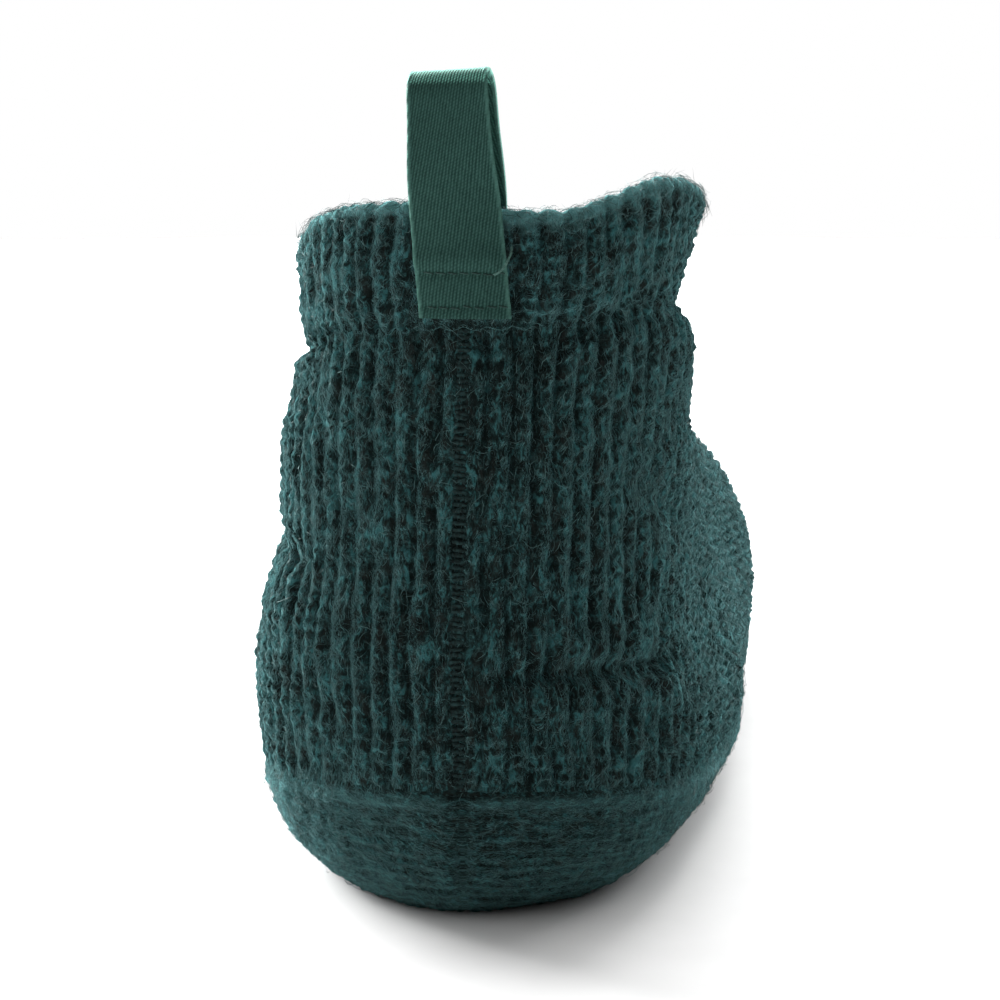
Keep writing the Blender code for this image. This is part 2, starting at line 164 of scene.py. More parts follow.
def loop_spline(knots, values, at, period):
    """The same curve round a closed loop, made smooth by three turns of it."""
    turns = np.concatenate([knots - period, knots, knots + period])
    return spline(turns, np.concatenate([values] * 3), at)


def bend(forward):
    """Sideways place of the last's middle, which curves inwards at the toe."""
    places = np.array(BEND)
    return spline(places[:, 0], places[:, 1], np.asarray(forward, float))


def unit(vectors):
    """Vectors of length 1 along the given ones."""
    return vectors / np.linalg.norm(vectors, axis=-1, keepdims=True)


def run_along(points):
    """Lengths from the first point of a line to each of its points."""
    steps = np.linalg.norm(np.diff(points, axis=0), axis=1)
    return np.concatenate([[0.0], np.cumsum(steps)])


def row_steps(rows):
    """Length from the point one row before to each point; the first row has none."""
    return np.linalg.norm(np.diff(rows, axis=0, prepend=rows[:1]), axis=2)


def cut_at(cuts, run, points):
    """Points of a line at the given lengths along it."""
    return np.stack([np.interp(cuts, run, points[:, k]) for k in range(3)], axis=1)


def ring_outline(values):
    """One ring as 2 * PARTS points from the centre back over the lateral side.

    A closed spline runs through its ends and six half-widths a side, and each half is then
    cut into equal lengths.
    """
    _, back, front, back_z, side_z, front_z, lean, *widths = values
    shares = np.array([0.0, *STATIONS, 1.0])
    forward = back + shares * (front - back)
    width = np.array([0.0, *widths, 0.0])
    height = spline(np.array(HEIGHT_PLACES), np.array([back_z, side_z, front_z]), shares)
    middle = bend(forward) + lean * np.array(LEAN_SHARE)
    lateral = np.stack([middle + width, forward, height], axis=1)
    medial = np.stack([middle - width, forward, height], axis=1)
    points = np.concatenate([lateral, medial[-2:0:-1]])
    knots = run_along(np.concatenate([points, points[:1]]))
    toe = knots[len(shares) - 1]
    sides = []
    for start, end in ((0.0, toe), (toe, knots[-1])):
        dense = loop_spline(knots[:-1], points, np.linspace(start, end, 2 * PARTS), knots[-1])
        run = run_along(dense)
        sides.append(cut_at(np.linspace(0.0, run[-1], PARTS + 1)[:-1], run, dense))
    return np.concatenate(sides)


def outward(rows):
    """Unit normals of closed rows that rise from the sole: across the row, then up."""
    around = np.roll(rows, -1, axis=1) - np.roll(rows, 1, axis=1)
    return unit(np.cross(around, np.gradient(rows, axis=0)))


def body_rows(levels):
    """Closed rows of the upper's outside at ring numbers, which may lie between rings.

    A spline runs up through the rings' matching points, with the collar's wave added to the
    top rings.
    """
    rings = np.array([ring_outline(values) for values in RINGS])
    wave = np.array(COLLAR_WAVE)
    share = np.arange(2 * PARTS) / (2 * PARTS)
    rim = loop_spline(wave[:, 0], wave[:, 1], share, 1.0)
    cuff_edge = loop_spline(wave[:, 0], wave[:, 2], share, 1.0)
    rings[-1, :, 2] += rim
    rings[-2, :, 2] += cuff_edge
    rings[-3, :, 2] += THROAT_WAVE * cuff_edge
    flat = rings.reshape(len(rings), -1)
    rows = spline(np.arange(len(rings), dtype=float), flat, np.asarray(levels, float))
    return rows.reshape(len(levels), 2 * PARTS, 3)


def one_half(rows, side):
    """Columns of closed rows from the centre back to the centre front over one side."""
    return rows[:, np.arange(PARTS + 1) * side]


def row_lengths(rows):
    """Length of each open row."""
    return np.linalg.norm(np.diff(rows, axis=1), axis=2).sum(axis=1)


def pick(rows, place):
    """Points of open rows at fractional point numbers, by straight lines between points."""
    low = np.minimum(place.astype(int), rows.shape[1] - 2)
    part = (place - low)[..., None]
    row = np.arange(len(rows))[:, None]
    return rows[row, low] * (1 - part) + rows[row, low + 1] * part


def soft_noise(u, v, seed):
    """Smooth noise from -1 to 1: random values on unit squares, blended by 3x^2 - 2x^3."""
    table = np.random.default_rng(seed).uniform(-1, 1, (256, 256))
    iu, iv = np.floor(u).astype(int), np.floor(v).astype(int)
    fu, fv = u - iu, v - iv
    fu, fv = fu * fu * (3 - 2 * fu), fv * fv * (3 - 2 * fv)
    low = table[iu % 256, iv % 256] * (1 - fu) + table[(iu + 1) % 256, iv % 256] * fu
    high = table[iu % 256, (iv + 1) % 256] * (1 - fu) + table[(iu + 1) % 256, (iv + 1) % 256] * fu
    return low * (1 - fv) + high * fv


def layers(run, rise, sizes, seed, shift=0):
    """Sum of soft noises, one for each layer's two sizes and height, with seeds that count up."""
    return sum(
        height * soft_noise(run / across + shift, rise / up, seed + number)
        for number, (across, up, height) in enumerate(sizes)
    )


def fade(x, over=1):
    """Smooth step from 0 at x = 0 to 1 at x = over."""
    x = np.clip(x / over, 0, 1)
    return x * x * (3 - 2 * x)


def bell(x, width):
    """Bell curve exp(-(x / width)^2)."""
    return np.exp(-((x / width) ** 2))


def ribs_across(place, sharpness):
    """How far each point lies from a rib's middle, in ribs, and |2x|^sharpness of that."""
    across = np.abs(place - np.floor(place) - 0.5)
    return across, (2 * across) ** sharpness


def rib_relief(run, rise, seed, slant=0.0):
    """Height of the rib knit, and painted shade from 0 to 1 that grows with how deep each point
    lies in its hollows.

    Across a rib the height is -|2x|^sharpness, highest in its middle. Stitches are a sine up
    the rib that leans away on both sides like a V, or runs on aslant where slant is 1. Layers
    of soft noise make the lumps and mats of felted wool.
    """
    wander = layers(run, rise, WANDER, seed)
    across, valley = ribs_across((run + wander) / RIB_PITCH, RIB_SHARPNESS)
    depth = USUAL_DEPTH + layers(run, rise, DEPTH_CHANGE, seed + 2)
    depth = depth * (1 - (1 - SLANT_RIB_SHARE) * slant)
    turn = rise / COURSE_PITCH + layers(run, rise, COURSE_DRIFT, seed + 3)
    drawn_out = np.log1p(np.maximum(run - SLANT_FROM, 0) / SLANT_REACH)
    turn = turn + STITCH_LEAN * across * (1 - slant) + slant * SLANT_STITCHES * drawn_out
    strength = 1 + layers(run, rise, STITCH_CHANGE, seed + 6) + SLANT_BOOST * slant
    stitch = np.sin(2 * np.pi * turn) * STITCH_HEIGHT * strength * (1 - valley * (1 - slant))
    lump = layers(run, rise, LUMPS, seed + 4)
    height = RIB_DEPTH * depth * (RIB_RISE - valley) + stitch + lump
    # The second value is painted shade in the hollows.
    return height, np.clip((PAINTED_SHADE_FROM - height) / PAINTED_SHADE_DEPTH, 0, 1)


def crease_relief(side, run, z):
    """Height of the creases: each falls off as exp(-(d / width)^2) from its straight line."""
    height = np.zeros_like(run)
    for crease_side, from_run, from_z, to_run, to_z, width, depth in CREASES:
        if crease_side != side:
            continue
        start = np.array([from_run, from_z])
        line = np.array([to_run, to_z]) - start
        share = ((run - start[0]) * line[0] + (z - start[1]) * line[1]) / (line @ line)
        share = np.clip(share, 0, 1)
        away = np.hypot(run - start[0] - share * line[0], z - start[1] - share * line[1])
        height -= depth * bell(away, width)
    return height


def sheet_faces(rows, columns, wrap):
    """Four-sided faces of a grid of points; wrap joins its last column to its first."""
    number = np.arange(rows * columns).reshape(rows, columns)
    after = np.roll(number, -1, axis=1)
    if not wrap:
        number, after = number[:, :-1], after[:, :-1]
    faces = np.stack([number[:-1], after[:-1], after[1:], number[1:]], axis=-1)
    return faces.reshape(-1, 4)


WELD_WITHIN, SLIVER_WITHIN = 0.02 * MM, 0.005 * MM


def new_piece(name, points, faces, marks=None, weld=False):
    """A smooth object at the origin from points in millimetres and faces of one size.

    marks holds a vector for each point under its name, and weld joins points that coincide.
    """
    flat = points.reshape(-1, 3) * MM
    flat[:, 1] = LENGTH / 2 * MM - flat[:, 1]
    mesh = bpy.data.meshes.new(name)
    mesh.vertices.add(len(flat))
    mesh.vertices.foreach_set("co", flat.ravel())
    mesh.loops.add(faces.size)
    mesh.loops.foreach_set("vertex_index", faces.ravel())
    mesh.polygons.add(len(faces))
    mesh.polygons.foreach_set("loop_start", np.arange(0, faces.size, faces.shape[1]))
    for mark, values in (marks or {}).items():
        layer = mesh.attributes.new(mark, "FLOAT_VECTOR", "POINT")
        layer.data.foreach_set("vector", values.reshape(-1, 3).astype(np.float32).ravel())
    mesh.update(calc_edges=True)
    if weld:
        work = bmesh.new()
        work.from_mesh(mesh)
        bmesh.ops.remove_doubles(work, verts=work.verts, dist=WELD_WITHIN)
        bmesh.ops.dissolve_degenerate(work, edges=work.edges, dist=SLIVER_WITHIN)
        work.to_mesh(mesh)
        work.free()
    mesh.validate()
    mesh.shade_smooth()
    piece = bpy.data.objects.new(name, mesh)
    bpy.context.scene.collection.objects.link(piece)
    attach(piece, "root")
    return piece


def new_sheet(name, points, normals, wrap, marks=None, weld=False):
    """A piece from rows of points, its faces turned the way of the given normals."""
    faces = sheet_faces(*points.shape[:2], wrap)
    flat, out = points.reshape(-1, 3), normals.reshape(-1, 3)
    across = flat[faces[:, 2]] - flat[faces[:, 0]]
    rising = flat[faces[:, 3]] - flat[faces[:, 1]]
    # Forward is -Y, so a cross product in the shoe's own axes is turned over.
    same = -np.cross(across, rising) * out[faces[:, 0]]
    return new_piece(name, points, faces if same.sum() > 0 else faces[:, ::-1], marks, weld)


class Signal:
    """A value in a material's nodes. Arithmetic on it adds Math nodes."""

    def __init__(self, tree, socket=None):
        self.tree = tree
        self.socket = socket

    def node(self, kind, settings=None, inputs=None, output=0):
        """Add a node: its settings first, then the values or links of its sockets."""
        made = self.tree.nodes.new(kind)
        for name, value in (settings or {}).items():
            if name == "stops":
                ramp = made.color_ramp.elements
                while len(ramp) < len(value):
                    ramp.new(1.0)
                for stop, (position, colour) in zip(ramp, value):
                    stop.position = position
                    stop.color = colour
            else:
                setattr(made, name, value)
        for name, value in (inputs or {}).items():
            if isinstance(value, Signal):
                self.tree.links.new(value.socket, made.inputs[name])
            else:
                made.inputs[name].default_value = value
        return Signal(self.tree, made.outputs[output])

    def math(self, operation, first, second=0.0):
        """One Math node on two values."""
        return self.node("ShaderNodeMath", {"operation": operation}, {0: first, 1: second})

    def on_piece(self):
        """The piece's own Object coordinates."""
        return self.node("ShaderNodeTexCoord", None, None, "Object")

    def mark(self, name, output="Vector"):
        """What the mesh holds for each point under a name."""
        return self.node("ShaderNodeAttribute", {"attribute_name": name}, None, output)

    def third(self, number):
        """One of a vector's three numbers, counted from 0."""
        return self.node("ShaderNodeSeparateXYZ", None, {0: self}, number)

    def bump(self, depth, strength=1.0):
        """A normal raised by this value, whose 1 stands for a depth in millimetres."""
        inputs = {"Strength": strength, "Distance": depth * MM, "Height": self}
        return self.node("ShaderNodeBump", None, inputs)

    def __add__(self, other):
        return self.math("ADD", self, other)

    __radd__ = __add__

    def __sub__(self, other):
        return self.math("SUBTRACT", self, other)

    def __rsub__(self, other):
        return self.math("SUBTRACT", other, self)

    def __mul__(self, other):
        return self.math("MULTIPLY", self, other)

    __rmul__ = __mul__

    def clip(self, low, high):
        """The value spread from the range low..high to 0..1 and held there."""
        inputs = {"Value": self, "From Min": low, "From Max": high}
        return self.node("ShaderNodeMapRange", {"interpolation_type": "SMOOTHSTEP"}, inputs)

    def scaled(self, across, along, lift=1.0, shift=0.0):
        """A vector stretched by three factors, then moved along its third part."""
        inputs = {0: self, 1: (across, along, lift), 2: (0.0, 0.0, shift)}
        return self.node("ShaderNodeVectorMath", {"operation": "MULTIPLY_ADD"}, inputs)

    def grain(self, size, detail=2.0, roughness=0.5, distortion=0.0):
        """Noise from 0 to 1 read at this vector, with this many grains in a unit."""
        inputs = {"Vector": self, "Scale": size, "Detail": detail}
        inputs.update({"Roughness": roughness, "Distortion": distortion})
        return self.node("ShaderNodeTexNoise", None, inputs)

    def mix(self, first, second):
        """Two colours mixed by this value."""
        inputs = {0: self, 6: first, 7: second}
        return self.node("ShaderNodeMix", {"data_type": "RGBA"}, inputs, 2)


def new_finish(name, fixed):
    """A material, its principled shader with values that are the same all over, and a start."""
    material = bpy.data.materials.new(name)
    material.use_nodes = True
    shader = material.node_tree.nodes["Principled BSDF"]
    for socket, value in fixed.items():
        shader.inputs[socket].default_value = value
    return material, shader, Signal(material.node_tree)


def feed(shader, name, signal):
    """Link a varying value to one of the shader's sockets."""
    signal.tree.links.new(signal.socket, shader.inputs[name])


# Grains in a millimetre across and along the yarn, and the share of each in the tone.
PATCH_GRAIN, PATCH_SHARE = 0.30, 0.65
FLECK_GRAIN, FLECK_SHARE = 0.95, 1.25
MAT_ACROSS, MAT_ALONG, MAT_SHARE = 2.6, 3.2, 0.8
TONE_SHIFT = 0.85
BROWN_SHARE, HAIR_SHARE = 0.55, 0.26
WOOL_DEPTH = 0.45
WOOL_SHEEN = {"Sheen Weight": 0.6, "Sheen Roughness": 0.22, "Sheen Tint": (0.38, 0.84, 0.86, 1.0)}
CHARCOAL = (0.0070, 0.0108, 0.0104, 1.0)
DEEP_TEAL = (0.0102, 0.0212, 0.0210, 1.0)
TEAL = (0.0205, 0.0480, 0.0480, 1.0)
BRIGHT_TEAL = (0.0390, 0.1280, 0.1330, 1.0)
GREY_BROWN = (0.0200, 0.0235, 0.0216, 1.0)
PALE_FIBRE = (0.130, 0.250, 0.247, 1.0)
# Colour of the painted shade in the knit's hollows.
PAINTED_SHADE_COLOUR = (0.0040, 0.0075, 0.0075, 1.0)
# Paler teal of brushed nap, which is also painted light on the cuff's rim.
NAP_AND_PAINTED_LIGHT_TEAL = (0.160, 0.390, 0.395, 1.0)
MARL = (CHARCOAL, DEEP_TEAL, TEAL, BRIGHT_TEAL)


def strands(cloth, across, along, width, shift):
    """Thin curly lines, as where a warped noise crosses its middle value, broken up at random."""
    place = cloth.scaled(across, along, 0.0, shift)
    level = place.grain(1.0, 1.0, 0.5, 1.6) - 0.5
    line = 1.0 - level.math("ABSOLUTE", level).clip(0.0, width)
    return line * place.scaled(0.9, 0.9, 1.0, 5.0).grain(1.0, 1.0).clip(0.46, 0.60)


def wool_finish(name, places, across, along, gap_shade):
    """Marled, felted wool. The knit mark gives places on the cloth in mm, and its painted shading
    and paler nap.

    Painted shade in the hollows is from 0 to 1, and values from 0 to -1 mix in a paler teal for
    brushed-up nap, which on the cuff's rim is also painted light.
    Broad marl patches, flecks and matted fibres, all drawn out the way the yarn runs, add up to
    a tone, and a ramp with the marl's four colours at the given places turns it into colour.
    Grey-brown wool shows in places, painted shade darkens the hollows, and fine paler strands curl
    over everything and raise the bump.
    """
    material, shader, start = new_finish(name, {"Specular IOR Level": 0.0, **WOOL_SHEEN})
    cloth = start.mark("knit")
    painted_shading_and_nap = cloth.third(2)
    patches = cloth.scaled(across * PATCH_GRAIN, along * PATCH_GRAIN, 0.0).grain(1.0, 1.0, 0.5, 0.6)
    flecks = cloth.scaled(across * FLECK_GRAIN, along * FLECK_GRAIN, 0.0, 3.0)
    flecks = flecks.grain(1.0, 2.0, 0.55, 1.2)
    mats = cloth.scaled(across * MAT_ACROSS, along * MAT_ALONG, 0.0, 7.0).grain(1.0, 3.0, 0.7, 1.6)
    tone = patches * PATCH_SHARE + flecks * FLECK_SHARE + mats * MAT_SHARE - TONE_SHIFT
    colour = tone.node("ShaderNodeValToRGB", {"stops": tuple(zip(places, MARL))}, {0: tone})
    brown = cloth.scaled(across * 0.5, along * 0.6, 0.0, 11.0).grain(1.0, 2.0, 0.6, 0.8)
    colour = (brown.clip(0.50, 0.64) * BROWN_SHARE).mix(colour, GREY_BROWN)
    curls = strands(cloth, across * 0.40, along * 0.55, 0.030, 13.0)
    fine = strands(cloth, across * 0.85, along * 1.1, 0.055, 17.0)
    hairs = curls.math("MAXIMUM", curls, fine)
    colour = (hairs * HAIR_SHARE).mix(colour, PALE_FIBRE)
    # Paler teal where the mark is below 0: brushed nap, and on the cuff's rim painted light.
    brushed = (0.0 - painted_shading_and_nap).clip(0.0, 1.0) * (0.35 + mats * 0.6)
    colour = brushed.mix(colour, NAP_AND_PAINTED_LIGHT_TEAL)
    # Painted shade: the hollows are mixed towards a dark teal.
    feed(shader, "Base Color", (painted_shading_and_nap.clip(0.15, 0.95) * gap_shade).mix(colour, PAINTED_SHADE_COLOUR))
    feed(shader, "Normal", (mats * 0.8 + flecks * 0.5 + hairs * 0.3).bump(WOOL_DEPTH))
    feed(shader, "Roughness", 0.85 + flecks * 0.12)
    return material


rib_wool = wool_finish("rib_wool", (0.34, 0.46, 0.58, 0.74), 0.95, 0.42, 0.55)
half_levels = np.linspace(0.0, CUFF_LEVEL + HEM_OVERLAP, HALF_ROWS)
body = body_rows(half_levels)
body_out = outward(body)
felted = {}
for side, name in ((LATERAL, "lateral_half"), (MEDIAL, "medial_half")):
    rows, out = one_half(body, side), one_half(body_out, side)
    length = row_lengths(rows)[:, None]
    heel_runs = np.arange(0.0, HEEL_REACH, HEEL_STEP)
    toe_runs = np.arange(HEEL_REACH, length.max(), TOE_STEP)
    run = np.minimum(np.concatenate([heel_runs, toe_runs, [length.max()]])[None], length)
    place = run / length * PARTS
    points, normals = pick(rows, place), pick(out, place)
    rise = np.cumsum(row_steps(points), axis=0)
    slant = fade(run - SLANT_FROM, SLANT_OVER) * (side == MEDIAL)
    height, painted_shading_and_nap = rib_relief(run, rise, 10 + side, slant)
    height += crease_relief(side, run, points[..., 2])
    loose = fade(run, SEAM_REACH) * fade(length - run, SEAM_REACH)
    height = height * loose - SEAM_DIP * (1 - loose)
    height *= FOOT_SHARE + (1 - FOOT_SHARE) * fade(rise, FOOT_RISE)
    points = points + normals * height[..., None]
    beyond = np.maximum(run - SLANT_FROM, 0) * (side == MEDIAL)
    eased = 1 - np.exp(-beyond / MARL_EASE)
    marl_run = run - MARL_STRETCH * (beyond - MARL_EASE * eased)
    marl_run = marl_run - MARL_SLANT * eased * (MARL_MIDDLE - rise)
    # Painted shade in the seam grooves.
    painted_shading_and_nap = np.maximum(painted_shading_and_nap, SEAM_SHADE * (1 - loose))
    marks = {"knit": np.stack([marl_run * side, rise, painted_shading_and_nap], axis=-1)}
    half = new_sheet(name, points, normals, False, marks, weld=True)
    half.data.materials.append(rib_wool)
    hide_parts("upper")
    felted[name] = (points, normals)

# Centre-back and instep seams
# The two halves are joined edge to edge by a close ladder of yarn, pulled into the cloth so that
# each seam is a narrow groove with bars across it, darkened by painted shade on the halves.
LADDER_PITCH = 1.05
LADDER_REACH = 1.5
LADDER_SINK = 0.62
YARN_RADIUS, YARN_SIDES = 0.42, 6
# Places across a bar as shares of its reach, its rise in the middle, and how unevenly it lies.
BAR_SHARES, BAR_RISE = (-1.0, -0.62, 0.0, 0.62, 1.0), 0.3
BAR_SHIFT, BAR_TILT = 0.25, 0.3


def tubes(name, paths, radius, sides):
    """Thin closed tubes along many short paths, joined as one mesh.

    The first and last points of a path are its tips. Round each other point lies a ring, in
    the plane across the path.
    """
    count, size = paths.shape[:2]
    along = unit(np.gradient(paths, axis=1))
    helper = np.where(np.abs(along[..., 2:]) > 0.8, np.array([1.0, 0, 0]), np.array([0, 0, 1.0]))
    across = unit(np.cross(along, helper))
    third = np.cross(along, across)
    turn = (np.arange(sides) * 2 * np.pi / sides)[:, None]
    ring = np.cos(turn) * across[:, 1:-1, None] + np.sin(turn) * third[:, 1:-1, None]
    rings = (paths[:, 1:-1, None] + ring * radius).reshape(count, -1, 3)
    points = np.concatenate([paths[:, :1], rings, paths[:, -1:]], axis=1)
    first = np.arange(sides) + 1
    after = np.roll(first, -1)
    last = (size - 3) * sides
    end = np.full(sides, (size - 2) * sides + 1)
    faces = [np.stack([np.zeros(sides, int), first, after], axis=1)]
    for k in range(size - 3):
        low, high = k * sides, (k + 1) * sides
        faces.append(np.stack([first + low, first + high, after + low], axis=1))
        faces.append(np.stack([after + low, first + high, after + high], axis=1))
    faces.append(np.stack([first + last, end, after + last], axis=1))
    every = np.concatenate(faces)[None] + (np.arange(count) * points.shape[1])[:, None, None]
    return new_piece(name, points, every.reshape(-1, 3))


def seam_line(number):
    """Points up one end of the body's rows at equal steps, with the way across and out."""
    line = body[:, number]
    across = unit(body[:, (number + 6) % (2 * PARTS)] - body[:, number - 6])
    run = run_along(line)
    cuts = np.arange(1.0, run[-1] - 0.5, LADDER_PITCH)
    return [cut_at(cuts, run, values) for values in (line, across, body_out[:, number])]


yarn, yarn_shader, start = new_finish("seam_yarn", {"Roughness": 0.95, "Specular IOR Level": 0.1})
ply = start.on_piece().grain(1800.0, 3.0)
feed(yarn_shader, "Base Color", ply.clip(0.3, 0.75).mix(CHARCOAL, TEAL))
feed(yarn_shader, "Normal", ply.bump(0.2))

ladders = []
bow = np.array(BAR_SHARES)
for number in (0, PARTS):
    middle, side, up = seam_line(number)
    each = (len(middle), 1)
    random = np.random.default_rng(3 + number)
    reach = LADDER_REACH * random.uniform(0.8, 1.1, (*each, 1))
    bars = (middle - up * LADDER_SINK)[:, None] + side[:, None] * (bow[:, None] * reach)
    bars += up[:, None] * (BAR_RISE * (1 - bow**2)[:, None])
    shift = random.uniform(-BAR_SHIFT, BAR_SHIFT, each)
    bars[..., 2] += shift + bow * random.uniform(-BAR_TILT, BAR_TILT, each)
    ladders.append(bars)
ladder = tubes("seam_ladder", np.concatenate(ladders), YARN_RADIUS, YARN_SIDES)
ladder.data.materials.append(yarn)

# Turned cuff and lining
# The top of the leg is folded outwards into a hem about 19 mm deep, felted into a thick rolled
# rim. Inside, a pale brushed lining runs from the cuff down to the footbed.
CUFF_STEP = 1.8
# The marl runs alike both ways from the centre back, moved up by this much on the lateral side.
MARL_SHIFT, MARL_BLEND = 6.0, 24.0
KNIT_WALL = 3.0
CUFF_COLUMNS, CUFF_ROWS = 560, 40
ROLL_ROWS, FOLD_ROWS = 15, 7
FOLD_RADIUS = 0.55
CUFF_PUFF, CUFF_INSET, ROLL_INSET = 0.7, 0.5, 0.2
# Painted shade under the hem's fold, full at the fold and gone this many rows above it.
HEM_SHADE, HEM_SHADE_ROWS = 1.0, 4
# The hem is thinner over this share of the cuff's height, and wavy over this many rows.
HEM_THINNED, HEM_SHARE = 0.6, 0.22
HEM_WAVE, HEM_WAVE_SIZE, HEM_SCALLOP, HEM_WAVE_ROWS = 0.5, 7, 0.35, 6
# The knit's relief on the cuff's outside and on its roll and inside.
OUTER_RELIEF, INNER_RELIEF = 1.05, 0.6
# The tape presses the cuff flat round the centre back; hollows keep this share of their depth.
PRESSED_MIDDLE, PRESSED_HALF_WIDTH, PRESSED_OVER = -0.6, 8.4, 1.5
PRESSED_TOP, PRESSED_FORWARD, PRESSED_HOLLOWS = 121.0, 20, 0.4
# Towards the lateral side the cuff is pulled askew, and its ribs lean by this share of their rise.
CUFF_LEAN, LEAN_FROM, LEAN_OVER = 0.34, 12.0, 26.0
LINING_ROWS, LINING_COLUMNS = 60, 360
LINING_NAP, LINING_NAP_SIZE = 0.25, 3
LINING_SHADE, LINING_PALE = (0.30, 0.33, 0.33, 1), (0.52, 0.55, 0.55, 1)


def level_only(normals):
    """Unit vectors in the floor plane from normals."""
    return unit(normals * (1, 1, 0))


def spread_columns(rows, columns):
    """Closed rows with fewer columns, by straight lines between their points."""
    closed = np.concatenate([rows, rows[:, :1]], axis=1)
    place = np.arange(columns) * (rows.shape[1] / columns)
    return pick(closed, np.broadcast_to(place, (len(rows), columns)))


def sheet_out(sheet):
    """Unit normals of a sheet of rows: along the rows, then across them."""
    return unit(np.cross(np.gradient(sheet, axis=1), np.gradient(sheet, axis=0)))


def lateral_shift(run, half_round):
    """How far the marl is moved up, on the lateral side only."""
    return MARL_SHIFT * fade(run, MARL_BLEND) * fade(half_round - run, MARL_BLEND)


cuff_body = body_rows(np.linspace(CUFF_LEVEL, RIM_LEVEL, CUFF_ROWS))
cuff_out = level_only(outward(cuff_body))
cuff_body, cuff_out = (spread_columns(rows, CUFF_COLUMNS) for rows in (cuff_body, cuff_out))
cuff_share = np.linspace(0, 1, CUFF_ROWS)[:, None]
puff = CUFF_PUFF * np.sin(np.pi * cuff_share) - CUFF_INSET
puff -= HEM_THINNED * (1 - fade(cuff_share, HEM_SHARE))
wall = KNIT_WALL + CUFF_STEP

# The cuff's rows run round the fold at the hem, up the outside, over the roll and down inside.
turns = np.radians(np.linspace(-180, 0, FOLD_ROWS + 1)[:-1])[:, None]
fold_offset = CUFF_STEP - CUFF_INSET - HEM_THINNED - FOLD_RADIUS + FOLD_RADIUS * np.cos(turns)
roll_turns = np.radians(np.linspace(0, 180, ROLL_ROWS + 2)[1:-1])[:, None]
roll_offset = (CUFF_STEP - KNIT_WALL) / 2 + wall / 2 * np.cos(roll_turns) - ROLL_INSET
inner = slice(None, None, -2)
inside = np.zeros_like(cuff_share[inner])
offsets = np.concatenate([fold_offset, CUFF_STEP + puff, roll_offset, inside - KNIT_WALL])
lifts = np.concatenate([
    FOLD_RADIUS * np.sin(turns), np.zeros_like(cuff_share), wall / 2 * np.sin(roll_turns), inside,
])
source = np.concatenate([
    np.zeros(FOLD_ROWS, int), np.arange(CUFF_ROWS),
    np.full(ROLL_ROWS, CUFF_ROWS - 1), np.arange(CUFF_ROWS)[inner],
])
base, out = cuff_body[source], cuff_out[source]
ring_run = np.linalg.norm(np.roll(cuff_body, -1, axis=1) - cuff_body, axis=2).cumsum(axis=1)
whole = ring_run[:, -1:]
signed = np.concatenate([np.zeros_like(whole), ring_run[:, :-1]], axis=1)
signed = np.where(signed > whole / 2, signed - whole, signed)[source]
half_round = whole[source] / 2
shape = base + out * offsets[..., None]
hem = HEM_WAVE * soft_noise(signed / HEM_WAVE_SIZE, np.zeros_like(signed), 33)
hem -= HEM_SCALLOP * np.abs(np.sin(np.pi * signed / RIB_PITCH))
row_number = np.arange(len(source))[:, None]
shape[..., 2] += lifts + hem * (1 - fade(row_number - FOLD_ROWS, HEM_WAVE_ROWS))
climb = np.broadcast_to(row_steps(shape).mean(axis=1).cumsum()[:, None], signed.shape)
lean = CUFF_LEAN * fade(signed - LEAN_FROM, LEAN_OVER) * fade(half_round - signed, LEAN_OVER)
height, painted_shading_and_nap = rib_relief(np.abs(signed - lean * (climb - climb.mean())), climb + 2.0, 31)
# Painted shade under the hem's fold.
painted_shading_and_nap = np.maximum(painted_shading_and_nap, HEM_SHADE * (1 - fade(row_number - FOLD_ROWS, HEM_SHADE_ROWS)))
outer_rows = FOLD_ROWS + CUFF_ROWS
# Along the roll's top the colour turns to the paler teal: brushed nap, and painted light on the
# rim.
nap = bell(row_number - outer_rows - ROLL_ROWS / 3, 0.45 * ROLL_ROWS)
painted_shading_and_nap = painted_shading_and_nap * (1 - nap) - nap
strength = np.where(row_number < outer_rows, OUTER_RELIEF, INNER_RELIEF)
pressed = fade(np.abs(base[..., 0] - PRESSED_MIDDLE) - PRESSED_HALF_WIDTH, PRESSED_OVER)
at_tape = (base[..., 1] < PRESSED_FORWARD) & (base[..., 2] < PRESSED_TOP)
pressed = np.where(at_tape, pressed, 1.0)
pressed_hollows = height * (PRESSED_HOLLOWS + (1 - PRESSED_HOLLOWS) * pressed)
relief = np.where(height > 0, height * pressed, pressed_hollows) * strength
shape_out = sheet_out(shape)
shape = shape + shape_out * relief[..., None]
marl_rise = climb + lateral_shift(signed, half_round)
marks = {"knit": np.stack([np.abs(signed), marl_rise, painted_shading_and_nap], axis=-1)}
cuff_wool = wool_finish("cuff_wool", (0.33, 0.45, 0.56, 0.72), 0.95, 0.45, 0.6)
cuff = new_sheet("turned_cuff", shape, shape_out, True, marks)
cuff.data.materials.append(cuff_wool)
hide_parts("upper")
felted["turned_cuff"] = (shape, shape_out)

